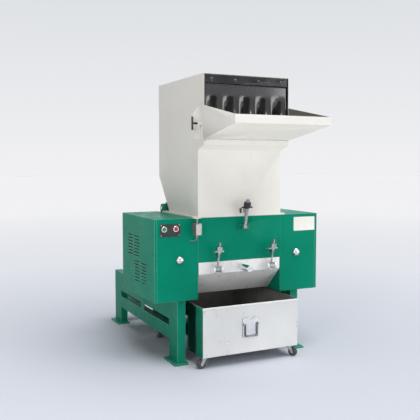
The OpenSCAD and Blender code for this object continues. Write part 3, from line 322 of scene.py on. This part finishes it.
def clad(material, *names):
    """Gives CAD nodes a material in every slot."""
    for name in names:
        mesh = frame["nodes"][name].data
        if not mesh.materials:
            mesh.materials.append(material)
        for i in range(len(mesh.materials)):
            mesh.materials[i] = material


def body_of(node):
    """The body that a CAD node belongs to."""
    return next(b for b, members in frame["record"]["behaviour"]["bodies"].items()
                if node in members)


def add(name, work, materials, body, smooth=38):
    """Makes a piece of a bmesh, shaded smooth below an angle, that rides on its body."""
    mesh = bpy.data.meshes.new(name)
    work.to_mesh(mesh)
    work.free()
    for material in materials if isinstance(materials, tuple) else (materials,):
        mesh.materials.append(material)
    piece = bpy.data.objects.new(name, mesh)
    scene.collection.objects.link(piece)
    if smooth:
        mesh.shade_smooth()
        mesh.set_sharp_from_angle(angle=math.radians(smooth))
    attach(piece, body)
    return piece


def whole(node):
    """A bmesh copy of a CAD node, its loose triangles merged to whole faces."""
    work = bmesh.new()
    work.from_mesh(frame["nodes"][node].data)
    for face in work.faces:
        face.material_index = 0
    bmesh.ops.remove_doubles(work, verts=work.verts, dist=2e-6)
    bmesh.ops.dissolve_limit(work, angle_limit=math.radians(0.6), verts=work.verts,
                             edges=work.edges)
    return work


def eased(piece, width, segments=2, edged=True, angle=40):
    """Small rounds along a piece's edges, in its edge material, which on enamel is lighter as a
    painted highlight.
    """
    edge = piece.modifiers.new("edge", "BEVEL")
    edge.width = width
    edge.segments = segments
    edge.limit_method = "ANGLE"
    edge.angle_limit = math.radians(angle)
    edge.material = EDGE_SLOT if edged else -1
    return piece


def dress(node, materials, width=0.0012, segments=2):
    """A CAD node's own form with eased edges, in its place."""
    edged = isinstance(materials, tuple)
    piece = add(node + "_finished", whole(node), materials, body_of(node))
    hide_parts(node)
    return eased(piece, width, segments, edged)


def bead(work, a, b, radius):
    """A rippled weld bead from a to b, added to a bmesh."""
    a, b = Vector(a), Vector(b)
    steps = max(2, int((b - a).length / (radius * BEAD_STEP)))
    for i in range(steps):
        bmesh.ops.create_icosphere(work, subdivisions=1, radius=radius, matrix=Matrix.Translation(
            a.lerp(b, (i + 0.5) / steps)) @ Matrix.Rotation(i * BEAD_TURN, 4, (b - a)))


for node in ("frame_side_left", "frame_side_right", "frame_cross_members"):
    dress(node, (green, green_edge), 0.0018)
welds = bmesh.new()
for middle in SIDE_X:
    for leg in LEG_Y:
        low, high = middle - LEG_W / 2, middle + LEG_W / 2
        near, far = leg - MIDDLE, leg + LEG_D - MIDDLE
        for a, b in (((low, near), (high, near)), ((low, far), (high, far)),
                     ((low, near), (low, far)), ((high, near), (high, far))):
            bead(welds, (*a, FOOT), (*b, FOOT), BEAD_R)
add("foot_weld_beads", welds, green, "machine", 180)

# ---- Cutting chamber
# Two thick side plates carry the bearings. Beams at the front and rear hold the bed knives,
# which are ground tool steel and bolted down. Plates and beams are sprayed like the frame.


def metal(name, colour, roughness, grain=None, depth=0.00005, stain=None, bright=1.0):
    """Bare or plated metal: uneven gloss, fine grinding lines along the grain, faint stains."""
    material, tree, shader = nodes_of(name)
    dim = tuple(c * 0.72 for c in colour[:3]) + (1,)
    shade = ramp(tree, noise(tree, 6, 5), [(0.28, dim), (0.62, colour)])
    if stain is not None:
        shade = laid_on(tree, span(tree, noise(tree, 15, 7, rough=0.7), 0, 0.7, 0.5, 0.72),
                        shade, stain)
    link(tree, shade, shader.inputs["Base Color"])
    shader.inputs["Metallic"].default_value = bright
    gloss = noise(tree, 24, 6)
    fine = noise(tree, 900, 2) if grain is None else noise(tree, 700, 3, grain, 0.6)
    both = times(tree, span(tree, gloss, 0.75, 1.25, 0.3, 0.7), span(tree, fine, 0.8, 1.2))
    link(tree, times(tree, both, roughness), shader.inputs["Roughness"])
    under = relief(tree, shader, fine, depth, 0.5)
    relief(tree, shader, noise(tree, 11, 3), 0.001, 0.12, under)
    return material


ground_steel = metal("ground_steel", lin(196, 198, 200), 0.26, (1, 0.03, 0.03), 0.00004)
worked_steel = metal("worked_steel", lin(104, 104, 104), 0.44, (0.05, 1, 1), 0.00006,
                     lin(72, 62, 54))
dark_steel = metal("black_oxide_steel", lin(66, 67, 70), 0.40, None, 0.00005, lin(88, 80, 72))
zinc = metal("zinc_plate", lin(200, 202, 202), 0.30, None, 0.00004, lin(168, 164, 150))


WASHER_W, WASHER_H, CORNER_R = 1.15, 0.22, 0.56     # as shares of a head's width or height


def hexes(name, spots, out, across, height, material, body):
    """Hexagon bolt heads on washers, standing on the spots and pointing out."""
    work = bmesh.new()
    turn = Vector(out).to_track_quat("Z", "Y").to_matrix().to_4x4()
    seat = height * WASHER_H
    for i, spot in enumerate(spots):
        place = Matrix.Translation(spot) @ turn @ Matrix.Rotation(0.5 + 0.7 * i, 4, "Z")
        bmesh.ops.create_cone(work, cap_ends=True, segments=20, radius1=across / 2 * WASHER_W,
                              radius2=across / 2 * WASHER_W, depth=seat,
                              matrix=place @ Matrix.Translation((0, 0, seat / 2)))
        bmesh.ops.create_cone(work, cap_ends=True, segments=6, radius1=across * CORNER_R,
                              radius2=across * CORNER_R, depth=height,
                              matrix=place @ Matrix.Translation((0, 0, seat + height / 2)))
    return eased(add(name, work, material, body, 30), across * 0.05, 1, False)


for node in ("chamber_side_left", "chamber_side_right"):
    dress(node, (green, green_edge), 0.001)
clad(green, "chamber_front", "chamber_rear")
dress("bed_knives", (ground_steel, ground_steel), 0.0006)

# ---- Rotor
# A stepped ground shaft carries a staggered steel core. Its knives are bolted to the arms,
# and two green flange bearings on the side plates hold it, with a bolt at each corner.
dress("rotor_shaft", (ground_steel, ground_steel), 0.0012)
dress("rotor_core", (worked_steel, ground_steel), 0.0012)
dress("rotor_knives", (ground_steel, ground_steel), 0.0005)
casting = enamel("cast_enamel", lin(22, 122, 102), lin(12, 104, 86), 0.45, 0.3)
dress("rotor_bearings", (casting, green_edge), 0.003, 3)
FLANGE_BACK, BOLT_OUT = 0.031, 0.058        # flange face from the end, bolt from the middle
BEARING_BOLT_W, BEARING_BOLT_H = 0.018, 0.009
low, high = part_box("rotor_bearings")
for side, x, out in (("left", low.x, -1), ("right", high.x, 1)):
    spots = [(x - out * FLANGE_BACK, (low.y + high.y) / 2 + y, (low.z + high.z) / 2 + z)
             for y in (-BOLT_OUT, BOLT_OUT) for z in (-BOLT_OUT, BOLT_OUT)]
    hexes(f"bearing_bolts_{side}", spots, (out, 0, 0), BEARING_BOLT_W, BEARING_BOLT_H, zinc,
          "machine")

# ---- Screen and its cradle
# A bent perforated plate below the rotor. The cradle that carries it swings down on a hinge barrel
# behind; its stainless front is one sheet with a slope to the bin, near white and barely metallic:
# painted light, as the slope lies in shade.
punched = metal("punched_plate", lin(150, 152, 154), 0.34, (1, 0.05, 0.05), 0.00005,
                lin(96, 88, 80))
clad(punched, "screen")
dress("screen_cradle", (worked_steel, ground_steel), 0.001)


def sheet_steel(name, tone, roughness, grain, depth, bright=1.0):
    """Stainless sheet: long brush lines, faint rolling waves and wiped smears."""
    material, tree, shader = nodes_of(name)
    dim = tuple(c * 0.86 for c in tone[:3]) + (1,)
    shade = ramp(tree, noise(tree, 1.8, 4), [(0.3, dim), (0.65, tone)])
    link(tree, shade, shader.inputs["Base Color"])
    shader.inputs["Metallic"].default_value = bright
    lines = noise(tree, 520, 4, grain, 0.65)
    smears = noise(tree, 7, 6, (1, 1, 0.5), 0.62)
    both = times(tree, span(tree, lines, 0.78, 1.22, 0.2, 0.8),
                 span(tree, smears, 0.8, 1.3, 0.35, 0.7))
    link(tree, times(tree, both, roughness), shader.inputs["Roughness"])
    under = relief(tree, shader, lines, depth, 0.45)
    relief(tree, shader, noise(tree, 2.2, 2), 0.012, 0.04, under)
    return material


# Painted light: the front sheet is near white with little metal, so the slope shows bright though
# it lies in shade.
light_painted = sheet_steel("polished_sheet", lin(244, 245, 244), 0.30, (0.03, 1, 1), 0.00002, 0.15)
brushed = sheet_steel("brushed_sheet", lin(226, 226, 223), 0.34, (1, 1, 0.025), 0.00004)
dress("cradle_front_plate", (light_painted, brushed), 0.0008)
chrome = metal("chrome_plate", lin(232, 234, 237), 0.07, None, 0.00001)
dress("cradle_handle", (chrome, chrome), 0.002, 3)

# ---- Side housings and front panels
# Folded sheet boxes over the pulley and the flywheel, welded at the corners and sprayed green.
# The front covers close on them; the centre panel covers the chamber above the screen.
for node in ("left_housing", "right_housing", "front_covers", "front_panel"):
    dress(node, (green, green_edge), 0.0011)

# ---- Cover knobs
# Domed chrome pulls, turned a half turn to free the front covers. Each is a spun shell on a
# short collar.


def turned(work, profile, place, steps=48):
    """A round form spun from (radius, height) points, set at a place in a bmesh."""
    one = bmesh.new()
    row = [one.verts.new((r, 0, h)) for r, h in profile]
    edges = [one.edges.new(pair) for pair in zip(row, row[1:])]
    bmesh.ops.spin(one, geom=row + edges, cent=(0, 0, 0), axis=(0, 0, 1),
                   angle=math.tau, steps=steps, use_merge=True)
    bmesh.ops.remove_doubles(one, verts=one.verts, dist=1e-6)
    bmesh.ops.recalc_face_normals(one, faces=one.faces)
    stamp(work, one, place)


def stamp(work, one, place):
    """Adds one bmesh to another at a place, and frees it."""
    mesh = bpy.data.meshes.new("stamp")
    one.to_mesh(mesh)
    one.free()
    mesh.transform(place)
    work.from_mesh(mesh)
    bpy.data.meshes.remove(mesh)


def facing(out, spot):
    """The place that turns height into the direction out, from a spot."""
    return Matrix.Translation(spot) @ Vector(out).to_track_quat("Z", "Y").to_matrix().to_4x4()


for side in ("left", "right"):
    node = "housing_knob_" + side
    low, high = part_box(node)
    tall, wide = high.y - low.y, (high.x - low.x) / 2
    dome = [(wide * math.cos(math.radians(a)), tall * (0.36 + 0.64 * math.sin(math.radians(a))))
            for a in range(0, 91, 9)]
    work = bmesh.new()
    turned(work, [(0, 0), (0.0125, 0), (0.013, 0.0015), (0.0115, tall * 0.2),
                  (wide * 0.8, tall * 0.25), (wide * 0.96, tall * 0.29)] + dome[:-1] + [(0, tall)],
           facing((0, -1, 0), ((low.x + high.x) / 2, high.y, (low.z + high.z) / 2)))
    knob = add("dome_knob_" + side, work, chrome, body_of(node), 60)
    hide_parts(node)

# ---- Rating plate
# A bare white-lacquered aluminium plate, riveted at its corners.
lacquer, tree, shader = nodes_of("white_lacquer")
link(tree, ramp(tree, noise(tree, 9, 5), [(0.3, lin(222, 222, 214)), (0.7, lin(238, 238, 233))]),
     shader.inputs["Base Color"])
link(tree, span(tree, noise(tree, 40, 5), 0.22, 0.4), shader.inputs["Roughness"])
relief(tree, shader, noise(tree, 600, 2), 0.00005, 0.5)
low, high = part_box("rating_plate")


def slab_of(work, low, high, corner):
    """A box between two corners, with its edges from front to back rounded."""
    low, high = Vector(low), Vector(high)
    bmesh.ops.create_cube(work, size=1, matrix=Matrix.Translation((low + high) / 2)
                          @ Matrix.Diagonal((*(high - low), 1)))
    along = [e for e in work.edges
             if abs((e.verts[0].co - e.verts[1].co).normalized().y) > 0.9]
    bmesh.ops.bevel(work, geom=along, offset=corner, affect="EDGES", segments=5,
                    profile=0.5, material=-1)


def rivets(work, spots, out, r, height):
    """Low domed heads on the spots, pointing out."""
    for spot in spots:
        turned(work, [(r, 0), (r * 0.93, height * 0.45), (r * 0.6, height * 0.85), (0, height)],
               facing(out, spot), 16)


PLATE_SINK, PLATE_CORNER, RIVET_IN = 0.0003, 0.004, 0.007
work = bmesh.new()
slab_of(work, (low.x, low.y + PLATE_SINK, low.z), (high.x, high.y, high.z), PLATE_CORNER)
plate = eased(add("blank_rating_plate", work, (lacquer, lacquer), "machine"), 0.0002)
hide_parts("rating_plate")
work = bmesh.new()
rivets(work, [(x, low.y + 0.0004, z) for x in (low.x + RIVET_IN, high.x - RIVET_IN)
              for z in (low.z + RIVET_IN, high.z - RIVET_IN)], (0, -1, 0), 0.0022, 0.0004)
add("rating_plate_rivets", work, zinc, "machine", 60)

# ---- Push buttons
# A moulded box behind the cover shows a black face plate with four screws. Chromed bezels
# hold a green start cap, which is flush, and a red stop cap, which stands proud.
black, tree, shader = nodes_of("black_face_plate")
link(tree, ramp(tree, noise(tree, 26, 6), [(0.35, lin(34, 37, 33)), (0.7, lin(48, 51, 46))]),
     shader.inputs["Base Color"])
link(tree, span(tree, noise(tree, 50, 6), 0.34, 0.6), shader.inputs["Roughness"])
relief(tree, shader, noise(tree, 1400, 2), 0.00005, 0.6)
dress("control_box", (black, black), 0.0008)


def moulded(name, colour, deep, roughness):
    """Glossy moulded plastic with a slight mottle and fine scratches."""
    material, tree, shader = nodes_of(name)
    link(tree, ramp(tree, noise(tree, 60, 4), [(0.3, deep), (0.7, colour)]),
         shader.inputs["Base Color"])
    link(tree, span(tree, noise(tree, 130, 5), roughness, roughness + 0.15),
         shader.inputs["Roughness"])
    relief(tree, shader, noise(tree, 900, 2), 0.00004, 0.5)
    return material


start_green = moulded("start_cap_plastic", lin(30, 150, 92), lin(20, 128, 76), 0.22)
stop_red = moulded("stop_cap_plastic", lin(196, 30, 52), lin(170, 20, 40), 0.22)
for node, plastic, slot in (("start_button", start_green, "green_plastic"),
                            ("stop_button", stop_red, "red_plastic")):
    low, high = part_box(node)
    r, tall = (high.x - low.x) / 2, high.y - low.y
    spot = ((low.x + high.x) / 2, high.y, (low.z + high.z) / 2)
    work = bmesh.new()
    turned(work, [(0, 0), (r, 0), (r, tall - 0.0016), (r - 0.0005, tall - 0.0005),
                  (r - 0.0016, tall), (r * 0.5, tall - 0.0006), (0, tall - 0.0009)],
           facing((0, -1, 0), spot), 40)
    cap = add(node + "_cap", work, plastic, body_of(node), 35)
    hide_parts(node)

low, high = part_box("control_box")
PLATE_UP = low.y + 0.005            # the face plate, 5 mm behind the CAD bezels' fronts
FACE_IN_X, FACE_IN_Z = 0.007, 0.008
BEZEL_IN, BEZEL_OUT = 0.0114, 0.0186
bezels = bmesh.new()
for node in ("start_button", "stop_button"):
    near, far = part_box(node)
    turned(bezels, [(BEZEL_IN, 0.0015), (BEZEL_IN, 0.0054), (0.0128, 0.0066), (0.0164, 0.0064),
                    (BEZEL_OUT, 0.0040), (BEZEL_OUT, 0.0), (BEZEL_IN, 0.0)],
           facing((0, -1, 0), ((near.x + far.x) / 2, PLATE_UP, (near.z + far.z) / 2)), 44)
add("button_bezels", bezels, chrome, "machine", 40)
work = bmesh.new()
rivets(work, [(x, PLATE_UP, z) for x in (low.x + FACE_IN_X, high.x - FACE_IN_X)
              for z in (low.z + FACE_IN_Z, high.z - FACE_IN_Z)], (0, -1, 0), 0.0034, 0.0018)
add("face_plate_screws", work, zinc, "machine", 60)

# ---- Limit switch
# A die-cast box with a screwed front lid. Its roller plunger is held down by the striker on
# the hopper's flange; the conduit leaves through a gland below.
cast = metal("die_cast_alloy", lin(150, 150, 146), 0.42, None, 0.00014, lin(118, 116, 110), 0.6)
lid_alloy = metal("switch_lid_alloy", lin(206, 206, 202), 0.36, None, 0.0001,
                  lin(176, 174, 168), 0.4)
dress("limit_switch", (cast, cast), 0.0016, 3)
low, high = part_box("limit_switch_plunger")
middle = (low.x + high.x) / 2
LID_Z, LID_TALL, LID_HALF = 0.819, 0.066, 0.0178
LID_PROUD, LID_SUNK = 0.0014, 0.001         # of and into the box's front
LID_CORNER, LID_SCREW_X, LID_SCREW_IN = 0.004, 0.0135, 0.005
LID_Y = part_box("limit_switch")[0].y
work = bmesh.new()
slab_of(work, (middle - LID_HALF, LID_Y - LID_PROUD, LID_Z),
        (middle + LID_HALF, LID_Y + LID_SUNK, LID_Z + LID_TALL), LID_CORNER)
eased(add("limit_switch_lid", work, (lid_alloy, lid_alloy), "machine"), 0.0004)
work = bmesh.new()
rivets(work, [(x, LID_Y - 0.0013, z) for x in (middle - LID_SCREW_X, middle + LID_SCREW_X)
              for z in (LID_Z + LID_SCREW_IN, LID_Z + LID_TALL - LID_SCREW_IN)],
       (0, -1, 0), 0.0026, 0.0014)
add("limit_switch_lid_screws", work, zinc, "machine", 60)
dress("limit_switch_plunger", (ground_steel, ground_steel), 0.0006)

# ---- Drive
# The motor's small pulley drives the big one through grooved belts, under a green guard; a
# cast flywheel turns on the other end of the rotor shaft. The motor stands on rails behind.
cast_iron = metal("cast_iron", lin(104, 106, 108), 0.50, None, 0.0003, lin(84, 74, 66), 0.85)
for node in ("rotor_pulley", "flywheel", "motor_pulley"):
    dress(node, (cast_iron, ground_steel), 0.0012)
dress("motor_shaft", (ground_steel, ground_steel), 0.0012)
rubber, tree, shader = nodes_of("belt_rubber")
link(tree, ramp(tree, noise(tree, 40, 6), [(0.35, lin(34, 34, 35)), (0.7, lin(54, 54, 55))]),
     shader.inputs["Base Color"])
link(tree, span(tree, noise(tree, 70, 5), 0.5, 0.75), shader.inputs["Roughness"])
relief(tree, shader, noise(tree, 800, 3), 0.0002, 0.6)
clad(rubber, "drive_belts")
blue = enamel("motor_enamel", lin(66, 106, 132), lin(54, 92, 118), 0.42, 0.25)
# Painted highlight: the edge tone is lighter than the faces' blue; its chips are real wear.
blue_edge = enamel("motor_enamel_edge", lin(92, 128, 152), lin(72, 110, 134), 0.38, 0.3,
                   lin(120, 116, 108))
for node in ("motor_body", "motor_covers"):
    dress(node, (blue, blue_edge), 0.0008)
for node in ("motor_base", "belt_guard"):
    dress(node, (green, green_edge), 0.0014)
TERMINAL_X, TERMINAL_Y = (0.011, 0.129), 0.046      # screws from the box's end and middle
low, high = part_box("motor_covers")
work = bmesh.new()
rivets(work, [(low.x + x, (low.y + high.y) / 2 + y, high.z) for x in TERMINAL_X
              for y in (-TERMINAL_Y, TERMINAL_Y)], (0, 0, 1), 0.0045, 0.0028)
add("terminal_lid_screws", work, zinc, "machine", 60)
GUARD_IN_Y, GUARD_IN_Z = 0.02, 0.018
low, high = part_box("belt_guard")
work = bmesh.new()
rivets(work, [(low.x, y, z)
              for y in (low.y + GUARD_IN_Y, (low.y + high.y) / 2, high.y - GUARD_IN_Y)
              for z in (low.z + GUARD_IN_Z, high.z - GUARD_IN_Z)], (-1, 0, 0), 0.0065, 0.0035)
add("guard_screws", work, zinc, "machine", 60)

# ---- Hinge pins
# Bright pins through the hopper's ears and the cradle's barrel, the hinges behind the machine.
dress("hinge_pins", (zinc, ground_steel), 0.001)

# ---- Feed hopper
# One welded shell of folded sheet, sprayed cream-white outside, on a foot flange that is hinged
# behind and clamped in front. Inside, the faces get a dark bare-steel lining that is painted
# shade.
cream = enamel("cream_enamel", lin(236, 234, 229), lin(230, 228, 222), 0.40, 0.2, None, 0.07)
# Painted highlight: the edge tone is lighter than the faces' cream; its chips are real wear.
cream_edge = enamel("cream_enamel_edge", lin(243, 242, 238), lin(236, 234, 229), 0.34, 0.2,
                    lin(140, 134, 124), 0.07)
# Painted shade: the hopper's inner faces get this dark, dull metal.
shade_lining = metal("scoured_sheet", lin(96, 92, 88), 0.46, (1, 1, 0.05), 0.00008,
                lin(74, 68, 62), 0.55)
INSIDE = 2                          # material slot of the inner faces, which take a lining of painted shade
HALF_WALL, HALF_ROOM = 0.2985, 0.296    # from the middle: beyond the side walls' faces, and within
BACK_FROM, FRONT_TO, ROOF_FROM = 0.45, 0.1, 1.79


def lined(node, inside, lining, width=0.0011):
    """A CAD node's form in cream enamel, with a dark lining of painted shade where a rule says a
    face is inside.
    """
    work = whole(node)
    for face in work.faces:
        if inside(face.calc_center_median(), face.normal):
            face.material_index = INSIDE
    piece = add(node + "_finished", work, (cream, cream_edge, lining), body_of(node))
    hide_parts(node)
    return eased(piece, width)


def in_hopper(spot, normal):
    """Whether a face lies inside the hopper, where the lining paints shade."""
    y = spot.y + MIDDLE
    wall = abs(spot.x) < HALF_WALL and abs(normal.x) > 0.9
    roof = normal.z < -0.5 and spot.z > ROOF_FROM
    back = normal.y < -0.3 and y > BACK_FROM
    front = normal.y > 0.3 and y < FRONT_TO
    return wall or abs(spot.x) < HALF_ROOM and (roof or back or front)


lined("hopper_shell", in_hopper, shade_lining)

# ---- Feed tray
# A folded pan, hinged below the mouth and sprayed cream-white like the hopper. Its floor and inner
# cheeks are painted darker, as painted shade, with heavy scuffs. A T-handled screw through each
# arm holds it open.
TRAY_HALF, TRAY_TOP = 0.3, 1.52     # its floor lies within these
CHEEKS_TO, TRAY_TO = -0.09, -0.02   # and before these, from the front panel's plane


def in_tray(spot, normal):
    """Whether a face is the tray's floor or an inner cheek, which get painted shade."""
    y = spot.y + MIDDLE
    cheek = abs(normal.x) > 0.8 and spot.x * normal.x < 0 and y < CHEEKS_TO
    pan = normal.z > 0.4 and abs(spot.x) < TRAY_HALF and spot.z < TRAY_TOP and y < TRAY_TO
    return cheek or pan


# Painted shade: a darker grey copy of the cream enamel for the tray's floor and inner cheeks, with
# real scuffs.
scuffed_shade = enamel("scraped_tray_enamel", lin(166, 161, 154), lin(146, 141, 134), 0.34, 0.0,
                 None, 0.3, 0.5)
lined("feed_tray", in_tray, scuffed_shade)
for side in ("left", "right"):
    dress("tray_clamp_screw_" + side, (dark_steel, ground_steel), 0.001)

# ---- Feed curtain
# A flat steel bar with four hexagon bolts clamps a rubber sheet across the mouth. The sheet
# hangs in five full folds, shallow under the bar and deep below, and flaps inward.
bar_steel = metal("clamp_bar_steel", lin(58, 58, 61), 0.42, (0.04, 1, 1), 0.00005,
                  lin(84, 80, 76))
dress("curtain_clamp", (bar_steel, ground_steel), 0.0008)
FOLDS, FOLD_IN, FOLD_OUT, FLAT_TOP = 5, 0.046, 0.007, 0.22
SHEET, FLAT_W = 0.004, 0.70         # the rubber's thickness, and its width laid flat
STEPS_FOLD, STEPS_DOWN = 16, 30     # of the grid, over one fold and from top to bottom
low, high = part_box("feed_curtain")

sheeting, tree, shader = nodes_of("black_sheet_rubber")
link(tree, ramp(tree, noise(tree, 12, 6), [(0.35, lin(26, 26, 28)), (0.7, lin(42, 42, 44))]),
     shader.inputs["Base Color"])
link(tree, span(tree, noise(tree, 22, 6, (1, 1, 0.4)), 0.2, 0.36, 0.3, 0.7),
     shader.inputs["Roughness"])
weave = relief(tree, shader, noise(tree, 700, 2), 0.0001, 0.4)
relief(tree, shader, noise(tree, 9, 3, (1, 1, 0.3)), 0.002, 0.08, weave)
shader.inputs["Coat Weight"].default_value = 1.0
shader.inputs["Coat Roughness"].default_value = 0.09
shader.inputs["Specular IOR Level"].default_value = 0.3

work = bmesh.new()
bmesh.ops.create_grid(work, x_segments=FOLDS * STEPS_FOLD, y_segments=STEPS_DOWN, size=0.5)
for v in work.verts:
    x, q = v.co.x + 0.5, 0.5 - v.co.y
    w = max(0, q - FLAT_TOP) / (1 - FLAT_TOP)
    depth = w * (2 - w)
    wave = (1 - math.cos(math.tau * FOLDS * x)) / 2
    v.co = (low.x + (high.x - low.x) * x,
            low.y + FOLD_OUT * (1 - depth) + (FOLD_IN + FOLD_OUT) * depth * wave,
            high.z - (high.z - low.z) * q)
bmesh.ops.recalc_face_normals(work, faces=work.faces)
curtain = add("folded_curtain", work, sheeting, "curtain", 180)
thick = curtain.modifiers.new("thick", "SOLIDIFY")
thick.thickness = SHEET
thick.offset = 0
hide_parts("feed_curtain")

# ---- Swing bolts
# Each turns on a pin in a lug below and stands slackened, leaning out of the fork above it. A
# T-handled nut draws it up. Rods and the screen's nuts are zinc plated, the hopper's nut black.
LEAN = math.radians(12)             # of the slackened bolts
THREAD = 126                        # scale of the thread's bands
threaded, tree, shader = nodes_of("threaded_rod")
shader.inputs["Metallic"].default_value = 1
link(tree, ramp(tree, noise(tree, 30, 5), [(0.3, lin(150, 152, 152)), (0.7, lin(206, 208, 208))]),
     shader.inputs["Base Color"])
link(tree, span(tree, noise(tree, 60, 5), 0.2, 0.4), shader.inputs["Roughness"])
thread = tree.nodes.new("ShaderNodeTexWave")
thread.bands_direction = "Z"
thread.inputs["Scale"].default_value = THREAD
link(tree, spot_on(tree, turn=(LEAN, 0, 0)), thread.inputs["Vector"])
relief(tree, shader, thread.outputs["Fac"], 0.0009, 0.8)
for name in ("hopper_swing_bolt", "screen_swing_bolt_left", "screen_swing_bolt_right"):
    dress(name, (threaded, ground_steel), 0.0008)
dress("hopper_t_nut", (dark_steel, ground_steel), 0.0016)
for side in ("left", "right"):
    dress("screen_t_nut_" + side, (zinc, ground_steel), 0.0014)

# ---- Granule bin
# A stainless tub with a turned-over rim. The sides keep their mill polish, the front is
# brushed; the inside is dulled by granules. A pressed plate on the front holds a drop bail.
TUB_FRONT, TUB_INSIDE = 2, 3        # material slots
WALL, FLOOR_UP = 0.004, 0.0045      # faces this near the tub's bounds are its outside
tub = sheet_steel("tub_sheet", lin(205, 207, 206), 0.13, (1, 0.03, 1), 0.00002)
tub_front = sheet_steel("tub_front_sheet", lin(240, 240, 237), 0.34, (0.025, 1, 1), 0.00004, 0.6)
dulled = metal("dulled_sheet", lin(164, 160, 158), 0.42, (1, 1, 0.05), 0.00006,
               lin(120, 112, 106), 0.2)
work = whole("bin_tub")
low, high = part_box("bin_tub")
for face in work.faces:
    spot, out = face.calc_center_median(), face.normal
    inner = low.x + WALL < spot.x < high.x - WALL and low.y + WALL < spot.y < high.y - WALL
    if abs(out.y) > 0.9 and spot.y < low.y + WALL:
        face.material_index = TUB_FRONT
    elif inner and spot.z > low.z + FLOOR_UP and out.z > -0.5:
        face.material_index = TUB_INSIDE
piece = add("bin_tub_finished", work, (tub, brushed, tub_front, dulled), "bin")
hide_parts("bin_tub")
eased(piece, 0.0008)
pressed = metal("pressed_plate_chrome", lin(240, 241, 243), 0.24, None, 0.00002, None, 0.7)
bail_bar = metal("bail_bar_chrome", lin(120, 122, 126), 0.16, None, 0.00002)
dress("bin_handle_plate", (pressed, bail_bar), 0.0012, 3)
dress("bin_bail", (bail_bar, bail_bar), 0.0008)

# ---- Casters
# Pressed zinc-plated forks on king pins, each with a moulded grey wheel on a riveted axle. The
# front pair swivels.
tyre, tree, shader = nodes_of("grey_tread")
link(tree, ramp(tree, noise(tree, 60, 6), [(0.35, lin(58, 59, 60)), (0.7, lin(84, 85, 86))]),
     shader.inputs["Base Color"])
link(tree, span(tree, noise(tree, 90, 5), 0.5, 0.8), shader.inputs["Roughness"])
relief(tree, shader, noise(tree, 500, 3), 0.0003, 0.5)
for side in ("left", "right"):
    dress("front_caster_fork_" + side, (zinc, zinc), 0.0008)
    for end in ("front", "rear"):
        dress(f"caster_wheel_{end}_{side}", (tyre, tyre), 0.002, 3)
dress("rear_caster_forks", (zinc, zinc), 0.0008)
